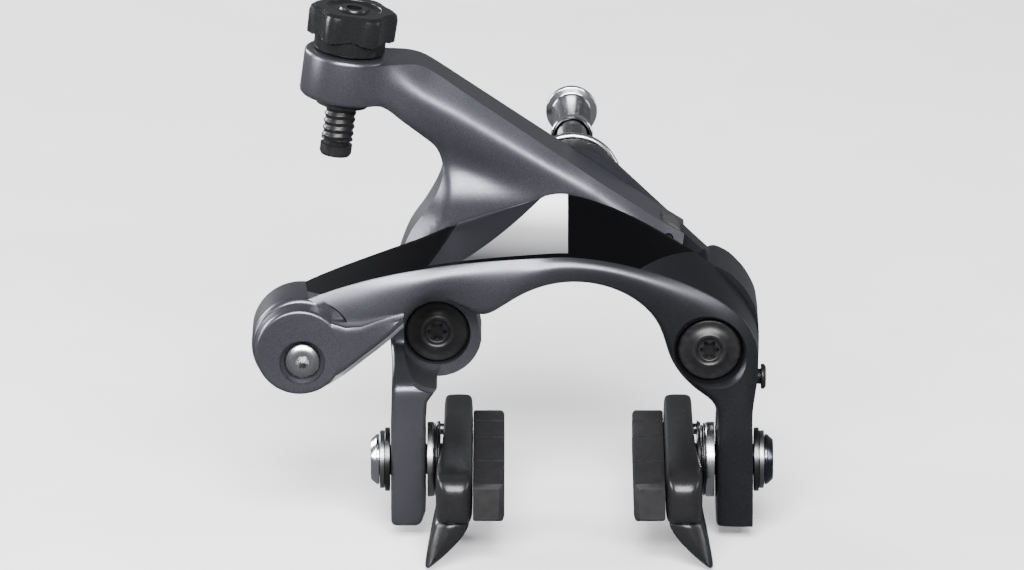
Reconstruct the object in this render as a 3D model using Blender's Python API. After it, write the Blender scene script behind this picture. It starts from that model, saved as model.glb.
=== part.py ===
"""Dual-pivot road rim brake caliper: two crossed arms on a base plate, two brake shoes.

The frame: +Z up, the front of the caliper faces -Y, +X to the right seen from the front.
The origin is on the centre bolt's axis, in the face that seats on the fork crown.
Sizes below are in millimetres; MM turns them into metres as each mesh is written.
"""
import math

import bmesh
import bpy
from mathutils import Vector

MM = 0.001
GAP = 0.3                      # clearance between touching pieces

# --- driving dimensions -------------------------------------------------------
PIVOT_X = 25.4                 # each arm's pivot, left and right of the centre bolt
PIVOT_Z = -23.9
BOLT_R = 3.0                   # M6 threads: centre bolt, pivot bolts, shoe studs, barrel
BORE_R = 3.35
ARCH_R = 20.6                  # tyre clearance under the arms
ARCH_Z = -30.6

WASHER_BACK = 0.0              # rear face of the mounting washer, on the fork crown
PLATE_FRONT, PLATE_BACK = -12.3, -6.0
Y_FRONT, Y_BACK = -25.2, -12.6          # the cable-side arm's layer
C_FRONT, C_BACK = -38.0, -25.6          # the front arm's layer
LEG_FRONT, LEG_BACK = -39.0, -27.0      # both arms' lower legs
LEG_BOTTOM = -57.5

LOBE_X, LOBE_Z, LOBE_R = -50.7, -22.6, 9.2       # round end that anchors the cable
LOBE_TAIL = [(-47.5, -41.6, -29.8, -41.6, -18.0), (-43.5, -41.2, -27.6, -41.0, -18.3),
             (-38.5, -40.3, -24.0, -39.3, -18.1), (-32.2, -38.6, -19.8, -38.3, -16.6)]
LEVER_X, LEVER_Z = -50.4, -24.5                  # quick release axle
CLAMP_X, CLAMP_Z = -54.4, -20.6                  # cable clamp bolt
ADJ_X, ADJ_Y, ADJ_Z = -42.4, -19.0, 25.0         # middle of the adjuster boss
ADJ_LEAN = math.radians(7.5)
SHOE_Y, SHOE_Z = -33.0, -46.1                    # shoe stud axis
PAD_GROOVES = (-17.5, -27.5, -42.0)              # water grooves across the pads, along Y
SCREW_Y, SCREW_Z, SCREW_HEAD = -30.0, -30.8, 35.1   # centring screw and its head's inner face
SHOE_TRAVEL = 4.0                                # stud travel each way in the leg's slot
ROLLER_X, ROLLER_Z = 17.6, -6.0                  # link roller at the tip of the cable-side arm

# the shoes' stack along X: braking face, leg's inner face, leg's outer face
LEFT_SHOE = {"side": -1, "face": 12.8, "leg_in": 27.4, "leg_out": 34.0}
RIGHT_SHOE = {"side": 1, "face": 11.2, "leg_in": 26.6, "leg_out": 33.6}

# --- materials: colour, metallic, roughness -----------------------------------
FINISHES = {
    "satin_grey": ((0.11, 0.11, 0.125), 0.75, 0.38),
    "dark_grey": ((0.035, 0.037, 0.047), 0.6, 0.4),
    "black_metal": ((0.012, 0.012, 0.013), 0.6, 0.35),
    "gloss_black": ((0.008, 0.008, 0.009), 0.0, 0.15),
    "steel": ((0.55, 0.55, 0.54), 1.0, 0.28),
    "dark_steel": ((0.12, 0.12, 0.125), 1.0, 0.32),
    "rubber": ((0.02, 0.02, 0.021), 0.0, 0.7),
    "nylon": ((0.03, 0.03, 0.03), 0.0, 0.5),
}


def clear_scene():
    for thing in list(bpy.data.objects):
        bpy.data.objects.remove(thing)


def make_finishes():
    made = {}
    for name, (colour, metallic, roughness) in FINISHES.items():
        material = bpy.data.materials.new(name)
        material.use_nodes = True
        shader = material.node_tree.nodes["Principled BSDF"]
        shader.inputs["Base Color"].default_value = (*colour, 1.0)
        shader.inputs["Metallic"].default_value = metallic
        shader.inputs["Roughness"].default_value = roughness
        made[name] = material
    return made


def make_axis(name, x, y, z):
    """An empty on a joint's axis; the pieces that move on it are its children."""
    empty = bpy.data.objects.new(name, None)
    empty.location = (x * MM, y * MM, z * MM)
    empty.empty_display_size = 4 * MM
    bpy.context.collection.objects.link(empty)
    return empty


def add_object(name, bm, finish=None, axis=None, hidden=False):
    bmesh.ops.remove_doubles(bm, verts=bm.verts, dist=1e-7)
    bmesh.ops.recalc_face_normals(bm, faces=bm.faces)
    mesh = bpy.data.meshes.new(name)
    bm.to_mesh(mesh)
    bm.free()
    thing = bpy.data.objects.new(name, mesh)
    bpy.context.collection.objects.link(thing)
    if finish:
        mesh.materials.append(MATERIALS[finish])
        mesh.shade_smooth()
        mesh.set_sharp_from_angle(angle=math.radians(35))
    if axis:
        bpy.context.view_layer.update()
        thing.parent = axis
        thing.matrix_parent_inverse = axis.matrix_world.inverted()
    if hidden:
        thing.hide_render = True
        thing.display_type = "WIRE"
    return thing


def combine(target, tool, operation):
    """Boolean union or difference with a hidden tool object."""
    tool.hide_render = True
    tool.display_type = "WIRE"
    step = target.modifiers.new(tool.name, "BOOLEAN")
    step.operation = operation
    step.object = tool
    return target


def cut(target, *tools):
    for tool in tools:
        combine(target, tool, "DIFFERENCE")


def fuse(target, *tools):
    for tool in tools:
        combine(target, tool, "UNION")


def loft(sections):
    """Closed solid through rings of points in mm; the first and last ring are capped."""
    bm = bmesh.new()
    rings = [[bm.verts.new(Vector(point) * MM) for point in ring] for ring in sections]
    count = len(rings[0])
    for ring, following in zip(rings, rings[1:]):
        for i in range(count):
            j = (i + 1) % count
            bm.faces.new((ring[i], ring[j], following[j], following[i]))
    bm.faces.new(rings[0])
    bm.faces.new(rings[-1])
    return bm


def prism(outline, front, back):
    """An x, z outline extruded along Y."""
    return loft([[(x, y, z) for x, z in outline] for y in (front, back)])


def block(x0, x1, y0, y1, z0, z1):
    return prism([(x0, z0), (x1, z0), (x1, z1), (x0, z1)], y0, y1)


def frame_of(direction):
    along = Vector(direction).normalized()
    side = along.orthogonal().normalized()
    return along, side, along.cross(side)


def turned(centre, direction, profile, steps=28, hollow=False):
    """Body of revolution; profile is (distance along the axis, radius) in mm.

    A solid one starts and ends on the axis by itself, a hollow one closes on itself.
    """
    along, side, other = frame_of(direction)
    origin = Vector(centre)
    rings = []
    for reach, radius in profile:
        ring = []
        for i in range(steps):
            turn = 2 * math.pi * i / steps
            out = side * math.cos(turn) + other * math.sin(turn)
            ring.append(origin + along * reach + out * radius)
        rings.append(ring)
    if not hollow:
        return loft(rings)
    bm = bmesh.new()
    loops = [[bm.verts.new(point * MM) for point in ring] for ring in rings]
    for k, loop in enumerate(loops):
        following = loops[(k + 1) % len(loops)]
        for i in range(steps):
            j = (i + 1) % steps
            bm.faces.new((loop[i], loop[j], following[j], following[i]))
    return bm


def rod(centre, direction, start, end, radius, steps=28):
    return turned(centre, direction, [(start, radius), (end, radius)], steps)


def tube_ring(centre, direction, start, end, inner, outer, steps=28):
    profile = [(start, inner), (start, outer), (end, outer), (end, inner)]
    return turned(centre, direction, profile, steps, hollow=True)


def star(centre, direction, start, end, outer, inner, points=6):
    """Six-lobed drive socket."""
    along, side, other = frame_of(direction)
    rings = []
    for reach in (start, end):
        ring = []
        for i in range(points * 2):
            turn = math.pi * i / points
            radius = outer if i % 2 == 0 else inner
            out = side * math.cos(turn) + other * math.sin(turn)
            ring.append(Vector(centre) + along * reach + out * radius)
        rings.append(ring)
    return loft(rings)


def arc(x, z, radius, start, end, steps):
    """Points on a circle in the X-Z plane, angles in degrees from +X towards +Z."""
    points = []
    for i in range(steps + 1):
        turn = math.radians(start + (end - start) * i / steps)
        points.append((x + radius * math.cos(turn), z + radius * math.sin(turn)))
    return points


def cutter(name, bm):
    return add_object("cut_" + name, bm, hidden=True)


# --- base plate and its fasteners ---------------------------------------------
def make_base():
    left_side = arc(-PIVOT_X, PIVOT_Z, 8.0, 150, 330, 8)
    arch = arc(0, ARCH_Z, ARCH_R + 0.4, 158, 22, 12)
    right_side = arc(PIVOT_X, PIVOT_Z, 8.6, 210, 390, 8)
    hub = arc(0, 0, 8.6, 50, 130, 5)
    outline = left_side + arch + right_side + hub
    plate = add_object("base_plate", prism(outline, PLATE_FRONT, PLATE_BACK), "dark_grey")
    boss = rod((0, 0, 0), (0, 1, 0), PLATE_BACK - 1, -2.1, 6.0)
    fuse(plate, cutter("hub_boss", boss))
    cut(plate, cutter("hub_bore", rod((0, 0, 0), (0, 1, 0), -20, 5, BORE_R)))
    cut(plate, cutter("hub_seat", rod((0, 0, 0), (0, 1, 0), -20, PLATE_FRONT + 2.2, 5.4)))
    for side, x in (("left", -PIVOT_X), ("right", PIVOT_X)):
        bore = rod((x, 0, PIVOT_Z), (0, 1, 0), -20, 5, BORE_R)
        cut(plate, cutter(side + "_base_bore", bore))

    bolt = turned((0, 0, 0), (0, 1, 0),
                  [(PLATE_FRONT + 0.1, 5.0), (PLATE_FRONT + 1.9, 5.0),
                   (PLATE_FRONT + 1.9, BOLT_R), (35.4, BOLT_R), (36.2, 2.4)])
    bolt = add_object("center_bolt", bolt, "steel")
    cut(bolt, cutter("center_hex", star((0, 0, 0), (0, 1, 0), -14, PLATE_FRONT + 1.4, 2.6, 2.25)))

    washer = tube_ring((0, 0, 0), (0, 1, 0), -1.8, WASHER_BACK, BORE_R, 6.2, 36)
    washer = add_object("mounting_washer", washer, "steel")
    for i in range(12):
        turn = 2 * math.pi * i / 12
        spot = (6.4 * math.cos(turn), 0, 6.4 * math.sin(turn))
        notch = rod(spot, (0, 1, 0), -0.7, 1, 0.7, 8)
        cut(washer, cutter("serration_%02d" % i, notch))

    profile = [(24.7, BORE_R), (24.7, 3.9), (25.9, 3.9), (26.3, 3.6), (40.9, 3.6),
               (41.2, 4.9), (42.4, 4.9), (43.0, 4.4), (43.0, 2.6), (38.6, 2.6), (38.0, BORE_R)]
    add_object("sleeve_nut", turned((0, 0, 0), (0, 1, 0), profile, 30, hollow=True), "dark_steel")


def make_pivot_bolt(side, x, front):
    """Dished bolt head with a six-lobed socket, shank back into the base plate."""
    profile = [(front, 3.0), (front, 4.5), (front + 0.8, 5.7), (front + 2.0, 5.7),
               (front + 2.0, BOLT_R), (PLATE_BACK + 0.6, BOLT_R), (PLATE_BACK + 1.2, 2.4)]
    dish = turned((x, 0, PIVOT_Z), (0, 1, 0), [(front - 0.5, 2.9), (front + 0.7, 2.4)], 24)
    bolt = turned((x, 0, PIVOT_Z), (0, 1, 0), profile)
    bolt = add_object(side + "_pivot_bolt", bolt, "black_metal")
    cut(bolt, cutter(side + "_dish", dish))
    socket = star((x, 0, PIVOT_Z), (0, 1, 0), front - 1, front + 1.7, 2.1, 1.5)
    cut(bolt, cutter(side + "_socket", socket))


def make_base_small_parts():
    hex_bore = BORE_R / math.cos(math.pi / 6)
    make_pivot_bolt("left", -PIVOT_X, Y_FRONT + 0.3)
    make_pivot_bolt("right", PIVOT_X, C_FRONT + 1.6)
    for side, x in (("left", -PIVOT_X), ("right", PIVOT_X)):
        nut = tube_ring((x, 0, PIVOT_Z), (0, 1, 0), PLATE_BACK + 0.2, -2.6, hex_bore, 4.9, 6)
        add_object(side + "_pivot_nut", nut, "dark_steel")
    make_spring()


def make_spring():
    """Return spring: one wire, an open loop over the hub with a foot behind each leg."""
    half = [(8.0, -2.0), (13.5, -9.0), (18.2, -16.0), (18.4, -24.0), (20.9, -31.0), (25.8, -35.4)]
    right = [(x, -4.2, z) for x, z in half]
    left = [(-x, -4.2, z) for x, z in reversed(half)]
    loop = [(x, -4.2, z) for x, z in arc(0, 0, 8.4, 170, 10, 8)]
    add_object("return_spring", sweep(left + loop + right, 0.75, 8), "steel")


def sweep(points, radius, steps):
    """Round wire through points, the rings square to the run."""
    path = [Vector(point) for point in points]
    rings = []
    for i, here in enumerate(path):
        ahead = path[min(i + 1, len(path) - 1)] - path[max(i - 1, 0)]
        along = ahead.normalized()
        side = Vector((0, 1, 0))
        other = along.cross(side).normalized()
        ring = []
        for k in range(steps):
            turn = 2 * math.pi * k / steps
            ring.append(here + (side * math.cos(turn) + other * math.sin(turn)) * radius)
        rings.append(ring)
    return loft(rings)


# --- front arm: cable lobe, arch, right pivot, right leg ----------------------
# each row is one section: outer edge at the back, ridge at the front, inner edge
C_SECTIONS = [
    ((-50.7, -13.6), (-50.7, -13.9), (-50.7, -31.6)),
    ((-42.0, -9.9), (-42.0, -10.9), (-43.0, -28.0)),
    ((-35.0, -7.2), (-35.5, -9.2), (-36.5, -23.3)),
    ((-31.0, -5.7), (-31.0, -8.3), (-32.6, -20.6)),
    ((-27.0, -4.3), (-27.5, -7.7), (-30.6, -16.6)),
    ((-22.3, -2.1), (-22.5, -6.9), (-26.0, -14.0)),
    ((-15.6, 0.1), (-16.0, -6.3), (-20.5, -15.6)),
    ((-8.5, 2.4), (-10.0, -5.9), (-16.8, -18.6)),
    ((-4.2, 3.9), (-4.5, -5.6), (-11.2, -13.4)),
    ((-0.9, 4.1), (-0.9, -5.4), (-3.5, -10.3)),
    ((6.2, 1.8), (6.2, -6.2), (4.6, -10.5)),
    ((12.0, -0.9), (12.4, -7.7), (11.4, -13.5)),
    ((17.1, -3.9), (18.6, -9.6), (15.4, -17.6)),
    ((22.4, -7.1), (24.8, -12.3), (17.0, -22.0)),
    ((28.5, -11.6), (29.5, -15.2), (17.8, -25.6)),
    ((32.6, -16.6), (32.3, -18.2), (20.0, -29.1)),
    ((34.6, -21.3), (34.2, -21.7), (22.9, -31.9)),
    ((34.9, -27.0), (34.7, -26.6), (25.4, -33.4)),
    ((34.6, -33.0), (34.2, -32.6), (26.6, -35.6)),
    ((33.8, -37.4), (33.4, -36.9), (26.6, -40.0)),
    ((33.6, -41.0), (33.6, -41.0), (26.6, -42.0)),
    ((33.6, LEG_BOTTOM), (33.6, LEG_BOTTOM), (26.8, LEG_BOTTOM)),
]
TAB = (28.0, 31.0, -37.2, -33.6)   # spring tab: near x, far x, low z, high z
C_LEG_START = 18               # sections from here on belong to the lower leg


def c_section(index, outer, ridge, inner):
    shift = min(max(index - C_LEG_START + 1, 0), 3) / 3
    front = C_FRONT + (LEG_FRONT - C_FRONT) * shift
    back = C_BACK + (LEG_BACK - C_BACK) * shift
    return [(outer[0], back, outer[1]), (ridge[0], front, ridge[1]),
            (inner[0], front, inner[1]), (inner[0], back, inner[1])]


def leg_slot(name, x0, x1):
    """Upright slot through a leg; the shoe's stud slides in it."""
    half = BORE_R
    rings = []
    for x in (x0, x1):
        top = SHOE_Z + SHOE_TRAVEL + 0.6
        low = SHOE_Z - SHOE_TRAVEL - 0.6
        ring = [(x, SHOE_Y + y, z) for y, z in arc(0, top, half, 0, 180, 8)]
        ring += [(x, SHOE_Y + y, z) for y, z in arc(0, low, half, 180, 360, 8)]
        rings.append(ring)
    return cutter(name, loft(rings))


def make_c_arm(axis):
    rings = [c_section(i, *row) for i, row in enumerate(C_SECTIONS)]
    arm = add_object("c_arm", loft(rings), "satin_grey", axis)
    near, far, low, high = TAB
    pad = block(near - 1.1, near - 0.3, -6.0, -2.8, low, high)
    add_object("right_spring_slider", pad, "nylon", axis)
    lobe = turned((LOBE_X, 0, LOBE_Z), (0, 1, 0),
                  [(-41.7, 7.6), (-41.2, 8.1), (-38.6, 8.3), (-37.6, LOBE_R),
                   (C_BACK, LOBE_R)], 36)
    shoulder = [(17.0, -20.0), (17.8, -14.8), (22.6, -13.0), (26.0, -9.9), (29.5, -11.4),
                (32.4, -14.6), (34.4, -18.4), (35.0, -22.5), (35.0, -28.0), (33.8, -32.6),
                (28.5, -33.4), (20.0, -28.9), (17.4, -25.0)]
    fuse(arm, cutter("lobe", lobe), cutter("shoulder", prism(shoulder, -30.0, Y_BACK)))
    fuse(arm, cutter("tail", lobe_tail()))
    fuse(arm, cutter("c_tab", block(near, far, -28.0, -2.8, low, high)))
    cut(arm, cutter("c_bore", rod((PIVOT_X, 0, PIVOT_Z), (0, 1, 0), -50, 0, BORE_R)))
    seat = turned((PIVOT_X, 0, PIVOT_Z), (0, 1, 0),
                  [(-45, 6.3), (C_FRONT + 0.9, 6.3), (C_FRONT + 3.9, 6.0)], 32)
    cut(arm, cutter("c_seat", seat))
    cut(arm, cutter("axle_bore", rod((LEVER_X, 0, LEVER_Z), (0, 1, 0), -50, 0, 2.8)))
    cut(arm, cutter("axle_seat", rod((LEVER_X, 0, LEVER_Z), (0, 1, 0), -50, -40.0, 4.2)))
    cut(arm, cutter("screw_bore", rod((0, SCREW_Y, SCREW_Z), (1, 0, 0), 27.6, 40, 1.75, 16)))
    cut(arm, leg_slot("c_slot", 20, 40))
    screw = turned((0, SCREW_Y, SCREW_Z), (1, 0, 0),
                   [(28.0, 1.0), (28.5, 1.45), (SCREW_HEAD, 1.45), (SCREW_HEAD, 2.4), (36.1, 2.4)], 18)
    screw = add_object("centering_screw", screw, "black_metal", SCREW_AXIS)
    socket = rod((0, SCREW_Y, SCREW_Z), (1, 0, 0), 35.4, 37, 1.15, 6)
    cut(screw, cutter("screw_socket", socket))


def lobe_tail():
    """The lobe's raised front face runs out along the arm's lower edge."""
    rings = []
    for x, y_low, z_low, y_high, z_high in LOBE_TAIL:
        rings.append([(x, y_low, z_low), (x, y_high, z_high), (x, -37.0, z_high), (x, -37.0, z_low)])
    return loft(rings)


def make_quick_release(axis):
    """Axle with its button head in front; lever and cable clamp behind the lobe."""
    bolt = turned((LEVER_X, 0, LEVER_Z), (0, 1, 0),
                  [(-41.6, 2.4), (-41.2, 3.4), (-40.3, 3.5), (-40.3, 2.5), (-22.3, 2.5)], 24)
    bolt = add_object("lever_axle", bolt, "steel", axis)
    socket = rod((LEVER_X, 0, LEVER_Z), (0, 1, 0), -43, -39.6, 1.25, 6)
    cut(bolt, cutter("axle_socket", socket))

    hub = arc(-50.9, -22.3, 7.6, 75, 330, 14)
    tip = arc(-41.4, -19.2, 2.4, -75, 75, 6)
    lever = add_object("release_lever", prism(hub + tip, C_BACK + 0.3, -22.2), "satin_grey", axis)
    cut(lever, cutter("lever_bore", rod((LEVER_X, 0, LEVER_Z), (0, 1, 0), -30, -10, 2.8)))
    cut(lever, cutter("clamp_bore", rod((CLAMP_X, 0, CLAMP_Z), (0, 1, 0), -30, -10, 2.3)))

    plate = prism(arc(CLAMP_X, CLAMP_Z, 4.0, 0, 330, 11), -21.9, -20.3)
    plate = add_object("clamp_plate", plate, "steel", axis)
    cut(plate, cutter("plate_bore", rod((CLAMP_X, 0, CLAMP_Z), (0, 1, 0), -30, -10, 2.3)))
    bolt = turned((CLAMP_X, 0, CLAMP_Z), (0, 1, 0),
                  [(C_BACK + 0.4, 2.0), (-20.0, 2.0), (-20.0, 3.2), (-17.2, 3.2), (-16.8, 2.8)], 18)
    bolt = add_object("clamp_bolt", bolt, "dark_steel", axis)
    cut(bolt, cutter("clamp_hex", rod((CLAMP_X, 0, CLAMP_Z), (0, 1, 0), -18.6, -15, 1.9, 6)))


# --- cable-side arm: adjuster boss, diagonal beam, neck, left pivot, left leg --
def make_y_arm(axis):
    beam = [(-38.0, 20.6), (-35.1, 19.7), (-32.0, 17.3), (-27.9, 13.8), (-25.4, 11.5),
            (-24.3, 8.0), (-24.9, 4.4), (-27.3, -0.3), (-30.4, -4.9), (-32.6, -11.0),
            (-34.2, -18.0), (-34.3, -24.0)]
    beam += arc(-PIVOT_X, PIVOT_Z, 8.4, 225, 360, 6)
    beam += arc(0, ARCH_Z, ARCH_R + 0.2, 146, 90, 6)
    beam += [(7.0, -8.6), (13.0, -8.2), (16.2, -9.3), (20.2, -9.0), (20.8, -5.4),
             (17.3, -3.2), (-4.1, 11.2), (-21.1, 22.9), (-26.0, 26.4), (-29.5, 28.4),
             (-33.6, 28.2), (-38.0, 27.8)]
    arm = add_object("y_arm", prism(beam, Y_FRONT, Y_BACK), "satin_grey", axis)
    boss = rod((ADJ_X, ADJ_Y, ADJ_Z), ADJ_AXIS, -4.4, 4.4, 8.2, 32)
    rows = [(-20.0, -34.3, -18.0, Y_FRONT, Y_BACK), (-26.0, -34.1, -18.6, -25.2, -13.6),
            (-29.0, -33.9, -22.0, -32.5, -18.0), (-32.0, -33.8, -25.8, -37.5, -23.0),
            (-34.5, -34.0, -27.4, LEG_FRONT, LEG_BACK),
            (LEG_BOTTOM, -34.0, -27.6, LEG_FRONT, LEG_BACK)]
    leg = loft([[(x0, y0, z), (x1, y0, z), (x1, y1, z), (x0, y1, z)] for z, x0, x1, y0, y1 in rows])
    fuse(arm, cutter("boss", boss), cutter("leg", leg))
    near, far, low, high = TAB
    fuse(arm, cutter("y_tab", block(-far, -near, -28.0, -2.8, low, high)))
    pad = block(-near + 0.3, -near + 1.1, -6.0, -2.8, low, high)
    add_object("left_spring_slider", pad, "nylon", axis)
    cut(arm, cutter("adj_bore", rod((ADJ_X, ADJ_Y, ADJ_Z), ADJ_AXIS, -20, 20, BORE_R, 24)))
    cut(arm, cutter("y_bore", rod((-PIVOT_X, 0, PIVOT_Z), (0, 1, 0), -50, 0, BORE_R)))
    seat = rod((-PIVOT_X, 0, PIVOT_Z), (0, 1, 0), -50, Y_FRONT + 2.6, 6.1, 32)
    cut(arm, cutter("y_seat", seat))
    slot = block(10, 30, Y_FRONT + 3.4, Y_BACK - 3.4, -16, -2.6)
    cut(arm, cutter("roller_slot", slot))
    cut(arm, cutter("pin_bore", rod((ROLLER_X, 0, ROLLER_Z), (0, 1, 0), -50, 0, 1.3, 16)))
    cut(arm, leg_slot("y_slot", -40, -20))


def make_link_roller(arm_axis, roller_axis):
    pin = rod((ROLLER_X, 0, ROLLER_Z), (0, 1, 0), Y_FRONT + 0.2, Y_BACK - 0.2, 1.0, 16)
    add_object("roller_pin", pin, "steel", arm_axis)
    roller = tube_ring((ROLLER_X, 0, ROLLER_Z), (0, 1, 0), Y_FRONT + 3.7, Y_BACK - 3.7, 1.3, 2.6, 24)
    add_object("link_roller", roller, "steel", roller_axis)


def make_adjuster(arm_axis, knob_axis, barrel_axis):
    centre = (ADJ_X, ADJ_Y, ADJ_Z)
    barrel = turned(centre, ADJ_AXIS,
                    [(-15.8, 1.1), (-15.8, 2.7), (-15.3, BOLT_R), (-13.6, BOLT_R), (-13.6, 2.5),
                     (-13.0, 2.5), (-13.0, BOLT_R), (8.6, BOLT_R), (8.9, 2.7), (8.9, 1.1)],
                    24, hollow=True)
    add_object("adjuster_barrel", barrel, "black_metal", barrel_axis)
    body = turned(centre, ADJ_AXIS,
                  [(4.7, BORE_R), (4.7, 6.7), (6.8, 6.7), (6.8, 8.0), (12.2, 8.0), (12.8, 7.4),
                   (12.8, 1.4), (11.4, 1.4), (11.4, BORE_R)], 36, hollow=True)
    knob = add_object("adjuster_knob", body, "gloss_black", knob_axis)
    along, side, other = frame_of(ADJ_AXIS)
    for i in range(6):
        turn = math.pi * i / 3
        out = side * math.cos(turn) + other * math.sin(turn)
        spot = Vector(centre) + out * 10.6
        flute = rod(tuple(spot), ADJ_AXIS, 6.5, 14, 3.2, 16)
        cut(knob, cutter("flute_%d" % i, flute))
    seal = tube_ring(centre, ADJ_AXIS, -5.9, -4.7, BORE_R, 4.9, 24)
    add_object("adjuster_seal", seal, "rubber", arm_axis)


# --- brake shoes --------------------------------------------------------------
def x_ring(side, start, end, inner, outer, steps=28):
    """Washer round the shoe stud; start and end are distances from the mid-plane."""
    return tube_ring((0, SHOE_Y, SHOE_Z), (side, 0, 0), start, end, inner, outer, steps)


def make_shoe(word, spec, axis):
    side, face = spec["side"], spec["face"]
    leg_in, leg_out = spec["leg_in"], spec["leg_out"]
    pad_back = face + 5.6
    holder_in, holder_out = pad_back + GAP, face + 11.9
    make_pad(word, side, face, pad_back, axis)
    make_holder(word, side, holder_in, holder_out, axis)

    stud = turned((0, SHOE_Y, SHOE_Z), (side, 0, 0),
                  [(holder_in + 2.2, 2.2), (holder_in + 2.7, BOLT_R), (leg_out + 2.6, BOLT_R),
                   (leg_out + 3.0, 2.6)], 24)
    add_object(word + "_shoe_stud", stud, "steel", axis)
    room = leg_in - holder_out
    inner = x_ring(side, leg_in - 0.2 - room * 0.5, leg_in - 0.2, BORE_R, 7.0)
    add_object(word + "_inner_washer", inner, "steel", axis)
    cup = turned((0, SHOE_Y, SHOE_Z), (side, 0, 0),
                 [(holder_out + 0.2, BORE_R), (holder_out + 0.2, 6.2),
                  (leg_in - 0.4 - room * 0.5, 6.9), (leg_in - 0.4 - room * 0.5, BORE_R)],
                 28, hollow=True)
    add_object(word + "_cup_washer", cup, "dark_steel", axis)
    add_object(word + "_outer_washer", x_ring(side, leg_out + 0.2, leg_out + 1.1, BORE_R, 5.95),
               "dark_steel", axis)
    add_object(word + "_spring_washer", x_ring(side, leg_out + 1.3, leg_out + 2.0, BORE_R, 5.4),
               "steel", axis)
    nut = turned((0, SHOE_Y, SHOE_Z), (side, 0, 0),
                 [(leg_out + 2.2, BORE_R), (leg_out + 2.2, 4.7), (leg_out + 2.7, 4.7),
                  (leg_out + 3.8, 3.6), (leg_out + 3.8, 2.3), (leg_out + 3.3, 2.3),
                  (leg_out + 3.3, BORE_R)], 24, hollow=True)
    add_object(word + "_shoe_nut", nut, "steel", axis)


def along_y(side, rows):
    """Solid through upright sections along Y: (y, inner x, outer x, low z, high z)."""
    rings = []
    for y, x0, x1, z0, z1 in rows:
        rings.append([(side * x0, y, z0), (side * x1, y, z0), (side * x1, y, z1), (side * x0, y, z1)])
    return loft(rings)


def make_pad(word, side, face, back, axis):
    rows = [(-56.5, face + 0.6, back, -51.0, -44.0), (-55.0, face, back, -51.0, -43.5),
            (-11.0, face, back, -51.0, -43.5), (-9.5, face + 0.6, back, -51.0, -44.0)]
    pad = add_object(word + "_pad", along_y(side, rows), "rubber", axis)
    for i, y in enumerate(PAD_GROOVES):
        low, high = sorted((side * (face - 1), side * (face + 2.2)))
        groove = block(low, high, y - 0.7, y + 0.7, -53, -41)
        cut(pad, cutter("%s_groove_%d" % (word, i), groove))


def make_holder(word, side, inner, outer, axis):
    rows = [(-59.0, inner + 1.2, outer - 1.2, -51.0, -42.4), (-57.6, inner, outer, -51.5, -41.4),
            (-54.0, inner, outer, -51.5, -41.1), (-10.0, inner, outer, -51.5, -41.1),
            (-7.8, inner, outer - 1.0, -51.3, -41.4), (-7.0, inner + 1.2, outer - 2.0, -50.6, -42.0)]
    holder = add_object(word + "_holder", along_y(side, rows), "gloss_black", axis)
    wing = [((-58.0, -38.0), (inner + 0.8, outer - 0.6), -50.5),
            ((-58.0, -42.0), (inner + 2.4, outer + 0.4), -53.5),
            ((-57.8, -47.0), (inner + 5.4, outer + 1.4), -56.5),
            ((-57.2, -53.0), (outer + 1.6, outer + 2.6), -59.9)]
    rings = []
    for (y0, y1), (x0, x1), z in wing:
        rings.append([(side * x0, y0, z), (side * x1, y0, z), (side * x1, y1, z), (side * x0, y1, z)])
    fuse(holder, cutter(word + "_wing", loft(rings)))
    socket = rod((0, SHOE_Y, SHOE_Z), (side, 0, 0), inner + 1.9, outer + 3, BORE_R, 24)
    cut(holder, cutter(word + "_stud_socket", socket))
    seat = rod((0, -19.0, -44.6), (side, 0, 0), outer - 2.4, outer + 3, 1.35, 12)
    cut(holder, cutter(word + "_screw_seat", seat))
    screw = turned((0, -19.0, -44.6), (side, 0, 0),
                   [(outer - 2.1, 1.05), (outer + 0.2, 1.05), (outer + 0.2, 1.6), (outer + 0.9, 1.3)], 12)
    add_object(word + "_pad_screw", screw, "steel", axis)


clear_scene()
MATERIALS = make_finishes()
ADJ_AXIS = (math.sin(ADJ_LEAN), 0, math.cos(ADJ_LEAN))
C_AXIS = make_axis("c_arm_axis", PIVOT_X, 0, PIVOT_Z)
Y_AXIS = make_axis("y_arm_axis", -PIVOT_X, 0, PIVOT_Z)
SCREW_AXIS = make_axis("screw_axis", 35, SCREW_Y, SCREW_Z)
LEVER_AXIS = make_axis("lever_axis", LEVER_X, 0, LEVER_Z)
KNOB_AXIS = make_axis("knob_axis", ADJ_X, ADJ_Y, ADJ_Z)
BARREL_AXIS = make_axis("barrel_axis", ADJ_X, ADJ_Y, ADJ_Z)
ROLLER_AXIS = make_axis("roller_axis", ROLLER_X, 0, ROLLER_Z)
LEFT_AXIS = make_axis("left_shoe_axis", -30, SHOE_Y, SHOE_Z)
RIGHT_AXIS = make_axis("right_shoe_axis", 30, SHOE_Y, SHOE_Z)

make_base()
make_base_small_parts()
make_c_arm(C_AXIS)
make_quick_release(LEVER_AXIS)
make_y_arm(Y_AXIS)
make_link_roller(Y_AXIS, ROLLER_AXIS)
make_adjuster(Y_AXIS, KNOB_AXIS, BARREL_AXIS)
make_shoe("left", LEFT_SHOE, LEFT_AXIS)
make_shoe("right", RIGHT_SHOE, RIGHT_AXIS)
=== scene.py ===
# %% [markdown]
# # A dual-pivot rim brake caliper
# The working parts of this brake, with their sizes, pivots and limits, are already solid bodies in one
# fixed frame. This lesson gives each of them its finished surface: forged arms in satin grey, a glossy
# black panel, turned and threaded steel, moulded rubber. Nothing is moved or resized here. Sizes are
# written in millimetres, as on a workshop drawing, and MM turns them into Blender's metres.

# %% Load the frame
import math

import bmesh
import bpy
from mathutils import Matrix, Vector


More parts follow.
